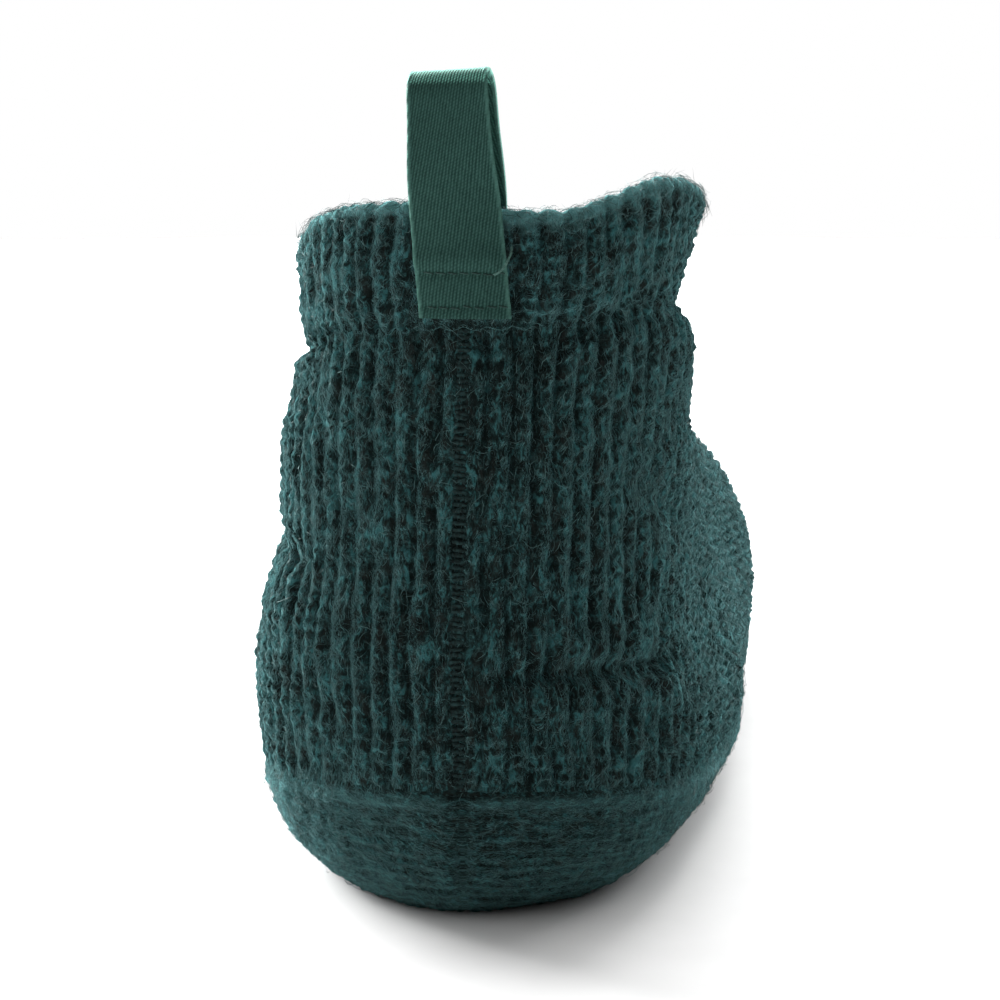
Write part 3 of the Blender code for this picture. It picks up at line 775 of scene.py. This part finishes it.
lining_body = body_rows(np.linspace(CUFF_LEVEL, 0.0, LINING_ROWS))
lining_out = spread_columns(-outward(lining_body), LINING_COLUMNS)
inside = spread_columns(lining_body, LINING_COLUMNS) - lining_out * KNIT_WALL
x, y, z = (inside[..., k] / LINING_NAP_SIZE for k in range(3))
inside -= lining_out * (LINING_NAP * soft_noise(y + x, z, 41))[..., None]
LINING_FINISH = {"Roughness": 0.95, "Sheen Weight": 0.5}
lining, lining_shader, start = new_finish("brushed_lining", LINING_FINISH)
where = start.on_piece()
pile = where.grain(900.0, 4.0, 0.6)
tone = (pile * 0.6 + where.grain(120.0, 3.0) * 0.5).clip(0.3, 0.8)
feed(lining_shader, "Base Color", tone.mix(LINING_SHADE, LINING_PALE))
feed(lining_shader, "Normal", pile.bump(0.5))
leg_lining = new_sheet("leg_lining", inside, -lining_out, True)
leg_lining.data.materials.append(lining)

# Pull loop
# A 15 mm woven twill tape, folded over above the rim. Its ends lie outside and inside the cuff
# and are sewn through it with two rows of stitches; the upper row has left a loose thread end.
TAPE_WIDTH = 15.0
TAPE_THICKNESS = 1.0
TAPE_CLEARANCE = 0.3
# Forward, up, moved sideways, how far it lies on the cuff, and the twist in degrees.
TAPE_ROUTE = (
    (3.3, 103.8, -0.8, 1.0, 0.0),
    (3.3, 112.0, -0.1, 1.0, 0.0),
    (3.2, 119.0, 0.5, 1.0, 0.0),
    (2.3, 128.0, 1.2, 0.3, 4.0),
    (2.2, 134.0, 1.5, 0.0, 8.0),
    (2.1, 139.0, 1.7, 0.0, 10.0),
    (2.3, 141.6, 1.8, 0.0, 12.0),
    (3.6, 143.4, 1.9, 0.0, 15.0),
    (6.0, 144.2, 2.0, 0.0, 17.0),
    (8.8, 144.0, 1.9, 0.0, 17.0),
    (11.3, 142.6, 1.7, 0.0, 14.0),
    (12.6, 139.2, 1.5, 0.0, 10.0),
    (12.4, 133.5, 1.1, 0.0, 9.0),
    (12.0, 127.0, 0.6, 0.3, 5.0),
    (10.4, 119.0, 0.3, 1.0, 0.0),
    (10.4, 108.0, 0.2, 1.0, 0.0),
)
TAPE_TOP = 8
TAPE_TILT = 0.2
TAPE_STEPS, TAPE_COUNT = 240, 57
TWILL_PITCH, TWILL_SLANT = 0.56, 0.22
PICK_PITCH = 0.50
SELVEDGE, SELVEDGE_RISE = 0.6, 0.10
# The free part is drawn in towards the fold by this share of its width.
TAPE_DRAWN_IN, DRAWN_FROM, DRAWN_OVER = 0.09, 121.0, 18.0
# Over the fold the weave is stretched open, and a painted highlight lightens it there.
FOLD_FROM, FOLD_OVER = 141.6, 1.4
STITCH_PITCH = 2.0
UPPER_STITCHES_Z, LOWER_STITCHES_Z = 111.3, 105.7
# The stitches pull the tape in along each row, and it swells above the upper one.
STITCH_DIP, STITCH_DIP_WIDTH = 0.34, 0.8
SWELL, SWELL_ABOVE, SWELL_WIDTH = 0.42, 2.4, 1.6
TAPE_WAVE = ((4.0, 5.0, 0.10),)
STITCH_RADIUS, TAIL_RADIUS = 0.15, 0.19
TAPE_DARK = (0.0085, 0.0270, 0.0225, 1)
TAPE_LIGHT = (0.0390, 0.1020, 0.0855, 1)
SELVEDGE_LIGHT = (0.075, 0.180, 0.150, 1)
# Colour of the painted highlight over the fold.
FOLD_PAINTED_HIGHLIGHT = (0.16, 0.42, 0.34, 1)
TAPE_FINISH = {
    "Specular IOR Level": 0.05, "Sheen Weight": 0.35, "Sheen Roughness": 0.25,
    "Sheen Tint": (0.32, 0.90, 0.74, 1.0),
}
# Stitches and their pale loose end, each with a dark and a light colour.
STITCH_COLOURS = (0.008, 0.026, 0.022, 1), (0.026, 0.068, 0.058, 1)
TAIL_COLOURS = (0.022, 0.062, 0.052, 1), (0.075, 0.165, 0.140, 1)


def cuff_face(offset, x, z):
    """Forward places of the cuff's face near the centre back, moved out by an offset.

    Each row of the cuff is read at the sideways places, and those are then read at the heights.
    """
    face = np.roll(cuff_body + cuff_out * offset, CUFF_COLUMNS // 8, axis=1)[:, :CUFF_COLUMNS // 4]
    forward = np.array([np.interp(x, row[:, 0], row[:, 1]) for row in face])
    height = np.array([np.interp(x, row[:, 0], row[:, 2]) for row in face])
    return np.stack([np.interp(z, height[:, k], forward[:, k]) for k in range(len(x))], axis=1)


route = np.array(TAPE_ROUTE)
route_run = run_along(route[:, :2])
tape_run = np.linspace(0, route_run[-1], TAPE_STEPS)
tape_forward, tape_z, tape_shift, hug, twist = spline(route_run, route, tape_run).T[:, :, None]
twist = np.radians(twist)
beside = np.linspace(-TAPE_WIDTH / 2, TAPE_WIDTH / 2, TAPE_COUNT)
lie_off = TAPE_CLEARANCE + TAPE_THICKNESS / 2
tape_level = tape_z[:, 0]
outer_face = cuff_face(CUFF_STEP, beside, tape_level) - lie_off
inner_face = cuff_face(-KNIT_WALL, beside, tape_level) + lie_off
outer_leg = tape_run < route_run[TAPE_TOP]
lying = np.where(outer_leg[:, None], outer_face, inner_face)
hug = np.clip(hug, 0, 1)
drawn = beside * (1 - TAPE_DRAWN_IN * fade(tape_z - DRAWN_FROM, DRAWN_OVER))
free = tape_forward + drawn * np.sin(twist)
tape = np.stack([
    tape_shift + drawn * np.cos(twist),
    free + hug * (lying - free),
    tape_z - TAPE_TILT * drawn * np.sin(twist),
], axis=-1)
edge = np.abs(beside) - (TAPE_WIDTH / 2 - SELVEDGE)
relief = SELVEDGE_RISE * np.where(edge > 0, np.sin(np.pi * edge / SELVEDGE), 0)
puckers = 0.75 + 0.25 * np.cos(2 * np.pi * beside / STITCH_PITCH)
for row_z in (UPPER_STITCHES_Z, LOWER_STITCHES_Z):
    near = bell(tape_level - row_z, STITCH_DIP_WIDTH) * outer_leg
    relief = relief - STITCH_DIP * near[:, None] * puckers
swollen = bell(tape_level - UPPER_STITCHES_Z - SWELL_ABOVE, SWELL_WIDTH) * outer_leg
relief = relief + SWELL * swollen[:, None]
relief = relief + layers(beside[None], tape_run[:, None], TAPE_WAVE, 51)
tape_out = sheet_out(tape)
tape = tape + tape_out * relief[..., None]
# How much painted highlight each row gets, rising over the fold.
stretched = fade(tape_z - FOLD_FROM, FOLD_OVER)
places = np.broadcast_arrays(beside, tape_run[:, None], stretched)
marks = {"weave": np.stack(places, axis=-1)}
loop = new_sheet("twill_loop", tape, tape_out, False, marks)
thicken = loop.modifiers.new("tape thickness", "SOLIDIFY")
thicken.thickness = TAPE_THICKNESS * MM
thicken.offset = 0.0

cotton, cotton_shader, start = new_finish("twill_cotton", TAPE_FINISH)
weave = start.mark("weave")
across_tape, up_tape, at_fold = (weave.third(number) for number in range(3))
uneven = weave.scaled(0.9, 0.35, 0.0).grain(1.0, 3.0, 0.6)
lean_place = (across_tape + up_tape * TWILL_SLANT + uneven * 0.25) * (2 * np.pi / TWILL_PITCH)
warp = lean_place.math("COSINE", lean_place) * 0.5 + 0.5
pick_place = up_tape * (2 * np.pi / PICK_PITCH) + across_tape * (np.pi / TWILL_PITCH)
dash = pick_place.math("SINE", pick_place) * 0.5 + 0.5
lint = weave.scaled(2.6, 1.6, 0.0, 3.0).grain(1.0, 4.0, 0.75, 0.5)
strength = warp * (0.30 + dash * 0.35) + lint * 0.8 + uneven * 0.35 - 0.32
shade = strength.clip(0.0, 1.0).mix(TAPE_DARK, TAPE_LIGHT)
from_middle = across_tape.math("ABSOLUTE", across_tape)
at_edge = from_middle.clip(TAPE_WIDTH / 2 - SELVEDGE, TAPE_WIDTH / 2 - 0.3 * SELVEDGE)
shade = (at_edge * (0.1 + lint * 0.9)).mix(shade, SELVEDGE_LIGHT)
# Painted highlight over the fold, broken up by the weave.
fold_highlight = at_fold * (warp * (0.3 + dash * 0.5) + lint * 0.5)
feed(cotton_shader, "Base Color", fold_highlight.clip(0.15, 0.9).mix(shade, FOLD_PAINTED_HIGHLIGHT))
feed(cotton_shader, "Roughness", 0.65 + lint * 0.25)
raised = warp * (0.5 + dash * 0.4) + lint * 0.4
feed(cotton_shader, "Normal", raised.bump(0.14, 0.8))
loop.data.materials.append(cotton)
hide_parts("pull_loop")

stitch_rows = []
bow = np.array([-1.0, -0.7, 0.0, 0.7, 1.0])
for row_z, seed in ((UPPER_STITCHES_Z, 61), (LOWER_STITCHES_Z, 62)):
    random = np.random.default_rng(seed)
    middle = np.arange(-6.6, 6.8, STITCH_PITCH)[:, None]
    x = middle + bow * 0.88 * random.uniform(0.85, 1.05, middle.shape)
    row_at = np.argmin(np.abs(tape_level - row_z) + 1e3 * ~outer_leg)
    front = np.interp(x.ravel(), beside, tape[row_at, :, 1]).reshape(x.shape)
    stitch_rows.append(np.stack([
        x + tape_shift[row_at],
        front - TAPE_THICKNESS / 2 - 0.04 - 0.16 * (1 - bow**2),
        row_z + random.uniform(-0.2, 0.2, middle.shape) + 0.12 * bow,
    ], axis=-1))
stitches = tubes("anchor_stitches", np.concatenate(stitch_rows), STITCH_RADIUS, 6)

# The cut end of the upper row curls up and away from the tape, and hooks over at its tip.
share = np.linspace(0, 1, 24)
curl = np.stack([
    -5.6 - 3.7 * share**0.8 + 0.5 * fade(share - 0.8, 0.2),
    1.7 - 1.5 * np.sin(np.pi * share) + 0.6 * share,
    UPPER_STITCHES_Z + 1.2 * share + 4.2 * share**2.2 - 0.6 * fade(share - 0.85, 0.15),
], axis=-1)
tail = tubes("loose_thread", curl[None], TAIL_RADIUS, 8)


def thread_finish(name, dark, light):
    """Twisted sewing thread whose plies show as fine light and dark grains."""
    material, shader, start = new_finish(name, {"Roughness": 0.7, "Specular IOR Level": 0.25})
    ply = start.on_piece().grain(2500.0, 2.0)
    feed(shader, "Base Color", ply.clip(0.3, 0.7).mix(dark, light))
    feed(shader, "Normal", ply.bump(0.08))
    return material


stitches.data.materials.append(thread_finish("stitch_thread", *STITCH_COLOURS))
tail.data.materials.append(thread_finish("pale_thread", *TAIL_COLOURS))

# Base band
# A strip of plain knit turned sideways, sewn round the foot of the upper, drawn under the pad
# and closed with one seam at the back of the heel.
EDGE_ROUND = ((0.0, 9.0), (20.0, 14.5), (45.0, 19.0), (80.0, 17.0), (120.0, 13.0), (255.0, 12.0))
ARCH_RISE, ARCH_FROM, ARCH_TO = 2.0, 82.0, 140.0
TOE_SPRING, TOE_SPRING_FROM = 6.0, 205.0
BAND_COLUMNS, BAND_ROWS = 880, 50
FLOOR_CLEARANCE = 0.05
# Courses run along the strip. Noise comes in layers as on the halves: size along, down, height.
BAND_COURSE, BAND_STITCH = 1.9, 2.7
BAND_DEPTH, BAND_RISE, BAND_STITCH_HEIGHT, BAND_LUMP = 0.42, 0.4, 0.12, 0.22
BAND_WANDER = ((14.0, 8.0, 0.5), (4.0, 3.0, 0.25))
BAND_DRIFT = ((6.0, 5.0, 0.3),)
BAND_LUMPS = ((2.8, 1.7, 1.0), (1.5, 1.1, 0.6), (11.0, 9.0, 1.6))
# A ridge stands where the strip is seamed to the upper: its height, place, width and change.
RIDGE, RIDGE_AT, RIDGE_WIDTH, RIDGE_CHANGE = 0.5, 1.9, 1.3, ((2.4, 4.0, 0.6),)
# The seam at the back of the heel dips, with a swelling on both sides of it, and painted shade
# darkens it.
BACK_SEAM_END, BACK_SEAM_OVER, CLOSED_SHADE = 24.0, 8, 0.8
# Painted shade in the band's hollows begins below this height and is full this much lower.
BAND_PAINTED_SHADE_FROM, BAND_PAINTED_SHADE_DEPTH = 0.10, 0.9
# The band's top edge laps over the cut edge of the ribs by this much.
LIP_RISE, LIP_INSET, LIP_NAP = 1.1, 0.5, 0.3


def level_outward(outline):
    """Unit vectors in the floor plane that point out of one closed outline."""
    around = np.roll(outline, -3, axis=0) - np.roll(outline, 3, axis=0)
    out = unit(np.stack([around[:, 1], -around[:, 0], np.zeros(len(outline))], axis=1))
    return out if np.sum((outline - outline.mean(axis=0)) * out) > 0 else -out


def underside(forward):
    """Height of the sole's underside: a low arch, flat heel and ball, and the toe's spring."""
    arch = np.clip((forward - ARCH_FROM) / (ARCH_TO - ARCH_FROM), 0, 1)
    toe = np.clip((forward - TOE_SPRING_FROM) / (LENGTH - TOE_SPRING_FROM), 0, 1)
    return ARCH_RISE * np.sin(np.pi * arch) ** 2 + TOE_SPRING * toe**2


def edge_rows(offset, turns, columns):
    """The sole's rounded edge, moved inwards by an offset, at angles from the seam down.

    A quarter ellipse falls from the seam to the underside. Each row holds one angle.
    """
    outline = spread_columns(ring_outline(RINGS[0])[None], columns)[0]
    out = level_outward(outline)
    table = np.array(EDGE_ROUND)
    edge_round = np.interp(outline[:, 1], table[:, 0], table[:, 1])[None]
    turn = np.radians(np.asarray(turns, float))[:, None]
    inset = edge_round * (1 - np.cos(turn))
    base = underside(outline[None, :, 1] - out[None, :, 1] * inset)
    tall = outline[None, :, 2] - base
    slope_in, slope_up = tall * np.cos(turn), edge_round * np.sin(turn)
    size = np.hypot(slope_in, slope_up)
    rows = outline[None] - out[None] * (inset + offset * slope_in / size)[..., None]
    rows[..., 2] = base + tall * (1 - np.sin(turn)) + offset * slope_up / size
    return rows


turns = np.concatenate([[0, 0], np.linspace(0, 90, BAND_ROWS)])
band = edge_rows(0.0, turns, BAND_COLUMNS)
band[0] -= level_outward(band[0]) * KNIT_WALL
band_out = -outward(band)
band_out[:2] = band_out[2]
run = np.broadcast_to(run_along(band[2]), band.shape[:2])
around = run.max()
fall = row_steps(band)
fall[:2] = 0
fall = np.cumsum(fall, axis=0)
across, valley = ribs_across((fall + layers(run, fall, BAND_WANDER, 71)) / BAND_COURSE, 2)
turn = run / BAND_STITCH + 0.8 * across + layers(run, fall, BAND_DRIFT, 73)
stitch = BAND_STITCH_HEIGHT * np.sin(2 * np.pi * turn) * (1 - valley)
lump = BAND_LUMP * layers(run, fall, BAND_LUMPS, 74)
height = BAND_DEPTH * (BAND_RISE - valley) + stitch + lump
top_ridge = bell(fall - RIDGE_AT, RIDGE_WIDTH)
height += RIDGE * top_ridge * (1 + layers(run, fall, RIDGE_CHANGE, 77))
to_back = np.minimum(run, around - run)
seam_fade = fade(BACK_SEAM_END - fall, BACK_SEAM_OVER)
height -= seam_fade * (0.45 * bell(to_back, 1.1) - 0.2 * bell(to_back - 2.6, 1.2))
height *= 1 - bell(to_back, 0.9)
height -= 0.3 * seam_fade * bell(to_back, 0.9)
height[:2] = 0
band = band + band_out * height[..., None]
band[1] = band[2] - band_out[2] * LIP_INSET + (0, 0, LIP_RISE)
band[..., 2] = np.maximum(band[..., 2], underside(band[..., 1]) + FLOOR_CLEARANCE)
# Painted shade along the back seam and in the band's hollows.
closed = CLOSED_SHADE * seam_fade * bell(to_back, 1.2)
painted_shading_and_nap = np.clip((BAND_PAINTED_SHADE_FROM - height) / BAND_PAINTED_SHADE_DEPTH, 0, 1)
painted_shading_and_nap = np.maximum(painted_shading_and_nap, closed) - LIP_NAP * top_ridge * (closed < 0.2)
marks = {"knit": np.stack([to_back, fall + lateral_shift(run, around / 2), painted_shading_and_nap], axis=-1)}
band_wool = wool_finish("band_wool", (0.34, 0.46, 0.60, 0.78), 0.70, 1.2, 0.45)
base_band = new_sheet("sideways_band", band, band_out, True, marks)
base_band.data.materials.append(band_wool)
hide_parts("base_band")
felted["sideways_band"] = (band[2:], band_out[2:])

# Padded sole
# A foam pad covered in close felt. Its bottom panel fills the opening of the band, and its pad
# spreads above the band's turned edge, right across the shoe.
SEAM_GAP = 0.3
BAND_LIFT = 0.25
PAD_HEIGHT, PAD_CLEARANCE = 12.2, 0.5
# Heights of the rows between the ledge on the band and the rounded top edge.
PAD_LEVELS = (4.6, 6.4, 8.6)
TOP_ROUND = 1.2
SPINE_END_SHARE = 0.16
PAD_COLUMNS = 360
EDGE_TURNS = np.linspace(0, 90, 61)
# The felt's lumps stand out by about this much, at this size.
FELT_LUMPS = ((2.2, 2.2, 0.12),)


def at_level(points, height):
    """The points moved up or down to a height above the underside."""
    moved = points.copy()
    moved[..., 2] = underside(points[..., 1]) + height
    return moved

def at_height(profile, height):
    """The point of each column's falling profile that lies a height above the underside."""
    above = profile[..., 2] - underside(profile[..., 1])
    low = np.maximum(np.argmax(above <= height, axis=0), 1)
    column = np.arange(profile.shape[1])
    upper_above, lower_above = above[low - 1, column], above[low, column]
    part = np.clip((upper_above - height) / (upper_above - lower_above), 0, 1)[:, None]
    point = profile[low - 1, column] * (1 - part) + profile[low, column] * part
    return at_level(point, height)


def cap_rows(outline, height, shares):
    """Rows that close an outline towards its middle line, a height above the underside.

    A share of 1 is the middle line itself, where columns that face each other share a point.
    """
    columns = len(outline)
    middle = (outline + outline[(-np.arange(columns)) % columns]) / 2
    end = SPINE_END_SHARE * np.ptp(outline[:, 1])
    middle[:, 1] = np.clip(middle[:, 1], outline[:, 1].min() + end, outline[:, 1].max() - end)
    middle[:, 0] = bend(middle[:, 1])
    rows = outline + (middle - outline) * np.array(shares)[:, None, None]
    return at_level(rows, height)


lying = edge_rows(KNIT_WALL + PAD_CLEARANCE, EDGE_TURNS, PAD_COLUMNS)
panel_edge = edge_rows(0.0, (90,), PAD_COLUMNS)[0]
panel_out = level_outward(panel_edge)
bottom = at_level(panel_edge - panel_out * SEAM_GAP, 0.0)
ledge = bottom + (0, 0, KNIT_WALL + PAD_CLEARANCE + BAND_LIFT)
shoulder = at_height(lying, PAD_HEIGHT - TOP_ROUND)
top = at_level(shoulder - panel_out * TOP_ROUND, PAD_HEIGHT)
inwards = np.linspace(0, 1, 26)[1:]
pad = np.concatenate([
    cap_rows(bottom, 0.0, inwards[::-1]), bottom[None], ledge[None],
    *(at_height(lying, level)[None] for level in PAD_LEVELS),
    shoulder[None], top[None], cap_rows(top, PAD_HEIGHT, (0.25, 0.55, 0.8, 1.0)),
])
sole_rows = len(inwards)
x, y = pad[:sole_rows, :, 0], pad[:sole_rows, :, 1]
pad[1:sole_rows, :, 2] += (FELT_LUMPS[0][2] + layers(x, y, FELT_LUMPS, 81, 40))[1:]
faces = sheet_faces(*pad.shape[:2], True)
sole = new_piece("padded_sole", pad, faces[:, ::-1], weld=True)
felt, felt_shader, start = new_finish("sole_felt", {"Sheen Weight": 0.4, "Sheen Roughness": 0.5})
where = start.on_piece()
hairs = where.scaled(1.0, 0.35, 1.0).grain(1400.0, 4.0, 0.6, 1.2)
clouds = where.grain(260.0, 3.0)
feed(felt_shader, "Base Color", (hairs * 0.6 + clouds * 0.5).clip(0.3, 0.85).mix(CHARCOAL, TEAL))
feed(felt_shader, "Roughness", 0.82 + clouds * 0.15)
feed(felt_shader, "Normal", hairs.bump(0.4))
sole.data.materials.append(felt)
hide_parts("sole")

# Insole
# A soft footbed of pale brushed fleece over thin foam, laid on the pad between the knit walls.
INSOLE_THICKNESS = 3.6
INSOLE_CLEARANCE = 0.7
TUFT_HEIGHT, TUFTS = 0.28, ((2.6, 2.6, 1.0), (1.3, 1.3, 0.7))
low_side = PAD_HEIGHT + SEAM_GAP
high_side = low_side + INSOLE_THICKNESS
side = at_height(edge_rows(KNIT_WALL + INSOLE_CLEARANCE, EDGE_TURNS, PAD_COLUMNS), low_side)
shoulder = at_level(side, high_side - TOP_ROUND)
top = at_level(side - level_outward(side) * TOP_ROUND, high_side)
bed = np.concatenate([
    cap_rows(side, low_side, (1.0, 0.7, 0.3)), side[None], shoulder[None], top[None],
    cap_rows(top, high_side, inwards),
])
fleece = bed[-sole_rows:]
fleece[..., 2] += TUFT_HEIGHT * layers(fleece[..., 0], fleece[..., 1], TUFTS, 91, 50)
insole = new_piece("fleece_insole", bed, sheet_faces(*bed.shape[:2], True)[:, ::-1], weld=True)
insole.data.materials.append(lining)
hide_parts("insole")

# Wool haze
# Felting lifts short curled fibres all over the knit. They are paler than the cloth, lie mostly
# along the yarn, and stand out as a thin bright fringe wherever the outline turns away.
# How many fibres each piece carries, and how far their directions spread in radians.
HAZE = (
    ("lateral_half", 7500, 0.8), ("medial_half", 7500, 0.8),
    ("turned_cuff", 7500, 0.9), ("sideways_band", 5000, 0.8),
)
RIM_DENSITY = 5.0
HAZE_RADIUS, HAZE_SIDES = 0.036, 3
# Gamma draws of a fibre's half-length and lift: shape, scale and least value.
FIBRE_REACH, FIBRE_LIFT, FIBRE_CURL = (3.0, 0.34, 0.4), (1.6, 0.11, 0.08), 0.5
# This share of the fibres has a loose end, lifted by between these heights.
LOOSE_SHARE, LOOSE_LIFT = 0.12, (0.2, 0.7)
LEAST_HEIGHT = 0.12


def haze(name, points, normals, count, spread, seed):
    """Short fibres scattered evenly over a sheet, each a shallow arc of four points.

    A fibre starts at a point drawn by the area round it, runs near the direction of the yarn,
    bends sideways as x^2, and lifts off the cloth as 1 - x^2 or, at a loose end, as x.
    """
    random = np.random.default_rng(seed)
    up_cloth, round_cloth = np.gradient(points, axis=0), np.gradient(points, axis=1)
    area = np.linalg.norm(np.cross(up_cloth, round_cloth), axis=2)
    area[[0, -1]] = 0
    if name == "turned_cuff":
        area[outer_rows - 3:outer_rows + ROLL_ROWS] *= RIM_DENSITY
    chance = np.cumsum(area.ravel())
    chosen = np.searchsorted(chance, random.uniform(0, chance[-1], count))
    chosen = np.minimum(chosen, area.size - 1)
    start, normal = points.reshape(-1, 3)[chosen], normals.reshape(-1, 3)[chosen]
    yarn_way = (round_cloth if name == "sideways_band" else up_cloth).reshape(-1, 3)[chosen]
    yarn_way = yarn_way / (np.linalg.norm(yarn_way, axis=1, keepdims=True) + 1e-9)
    aside = np.cross(normal, yarn_way)
    each = (count, 1)
    angle = random.normal(0, spread, each)
    way = yarn_way * np.cos(angle) + aside * np.sin(angle)
    turn = np.cross(normal, way)
    reach, lift = (random.gamma(*draw[:2], each) + draw[2] for draw in (FIBRE_REACH, FIBRE_LIFT))
    curl = random.normal(0, FIBRE_CURL, each) * reach
    loose = (random.uniform(0, 1, each) < LOOSE_SHARE) * random.uniform(*LOOSE_LIFT, each)
    x = np.linspace(-1, 1, 4)[:, None]
    raised = lift[:, None] * (1.15 - x**2) + loose[:, None] * np.maximum(x, 0) ** 2
    path = start[:, None] + way[:, None] * (x * reach[:, None])
    path = path + turn[:, None] * (curl[:, None] * x**2)
    path = path + normal[:, None] * raised
    path[..., 2] = np.maximum(path[..., 2], LEAST_HEIGHT)
    tone = np.repeat(random.uniform(0, 1, count) ** 1.6, 2 + 2 * HAZE_SIDES)
    fibres = tubes(name + "_haze", path, HAZE_RADIUS, HAZE_SIDES)
    layer = fibres.data.attributes.new("tone", "FLOAT", "POINT")
    layer.data.foreach_set("value", tone.astype(np.float32))
    return fibres


hair, hair_shader, start = new_finish("wool_hair", {"Roughness": 0.8, "Specular IOR Level": 0.2})
tone = start.mark("tone", "Fac")
speckle = start.on_piece().grain(700.0, 2.0)
shade = (tone * 0.9 + speckle * 0.4 - 0.2).clip(0.0, 1.0)
feed(hair_shader, "Base Color", shade.mix(TEAL, PALE_FIBRE))
feed(hair_shader, "Roughness", 0.7 + speckle * 0.2)
for number, (name, count, spread) in enumerate(HAZE):
    points, normals = felted[name]
    fibres = haze(name, points, normals, count, spread, 100 + number)
    fibres.data.materials.append(hair)
    "plain_knit" if name == "sideways_band" else "rib_knit"

# Floor, lights and camera
# A plain pale floor in a pale room. Large soft lights stand beyond the toe, to both sides of it
# and above, and shine back at the shoe. The camera stands behind the heel as in the photograph,
# a little above the collar.
FLOOR_RADIUS = 2.0
FLOOR_SHADE, FLOOR_PALE = (0.55, 0.55, 0.55, 1), (0.60, 0.60, 0.60, 1)
ROOM_DARK, ROOM_BRIGHT = (0.08, 0.08, 0.08, 1), (1.9, 1.9, 1.9, 1)
BACKDROP = (1.0, 1.0, 1.0, 1)
# Name, place, the point it faces, size in metres and power in watts.
LIGHTS = (
    ("lateral_side", (1.6, -1.65, 0.45), (0, 0, 0.06), 1.2, 450),
    ("medial_back", (-1.0, -1.9, 0.7), (0, 0, 0.06), 1.2, 80),
    ("overhead", (0.0, -1.9, 1.2), (0, 0, 0.08), 1.6, 140),
)
CAMERA_PLACE = (-0.048, 0.5675, 0.142)
CAMERA_WAY = (0.0932, -1.0, -0.1545)
SENSOR_WIDTH, FOCAL_SHARE = 36.0, 2.69


def put(name, data, place, way, axis):
    """An object at a place, turned so that one of its axes points a given way."""
    made = bpy.data.objects.new(name, data)
    bpy.context.scene.collection.objects.link(made)
    made.location = place
    made.rotation_mode = "QUATERNION"
    made.rotation_quaternion = Vector(way).to_track_quat(axis, "Y")
    return made


turn = np.radians(np.arange(0, 360, 3))
rim = np.stack([np.cos(turn), np.sin(turn), np.zeros_like(turn)], axis=1) * FLOOR_RADIUS
floor_mesh = bpy.data.meshes.new("floor")
floor_mesh.from_pydata(rim.tolist(), [], [tuple(range(len(rim)))])
floor = bpy.data.objects.new("floor", floor_mesh)
bpy.context.scene.collection.objects.link(floor)
PAPER_FINISH = {"Roughness": 0.9, "Specular IOR Level": 0.2}
paper, paper_shader, start = new_finish("floor_paper", PAPER_FINISH)
feed(paper_shader, "Base Color", start.on_piece().grain(60.0, 3.0).mix(FLOOR_SHADE, FLOOR_PALE))
floor_mesh.materials.append(paper)

world = bpy.data.worlds.new("studio")
bpy.context.scene.world = world
world.use_nodes = True
sky = Signal(world.node_tree)
direction = sky.node("ShaderNodeTexCoord", None, None, "Generated")
behind = 0.5 - 0.5 * direction.third(1) + 0.25 * direction.third(0)
seen = sky.node("ShaderNodeLightPath", None, None, "Is Camera Ray")
room = behind.clip(0.1, 1.0).mix(ROOM_DARK, ROOM_BRIGHT)
feed(world.node_tree.nodes["Background"], "Color", seen.mix(room, BACKDROP))

for name, place, aim, size, power in LIGHTS:
    light = bpy.data.lights.new(name, "AREA")
    light.size = size
    light.energy = power
    put(name, light, place, np.array(place) - np.array(aim), "Z")

camera_data = bpy.data.cameras.new("camera")
camera_data.sensor_width = SENSOR_WIDTH
camera_data.lens = SENSOR_WIDTH * FOCAL_SHARE
camera_data.clip_start = 0.01
bpy.context.scene.camera = put("camera", camera_data, CAMERA_PLACE, CAMERA_WAY, "-Z")
bpy.context.scene.view_settings.view_transform = "Standard"
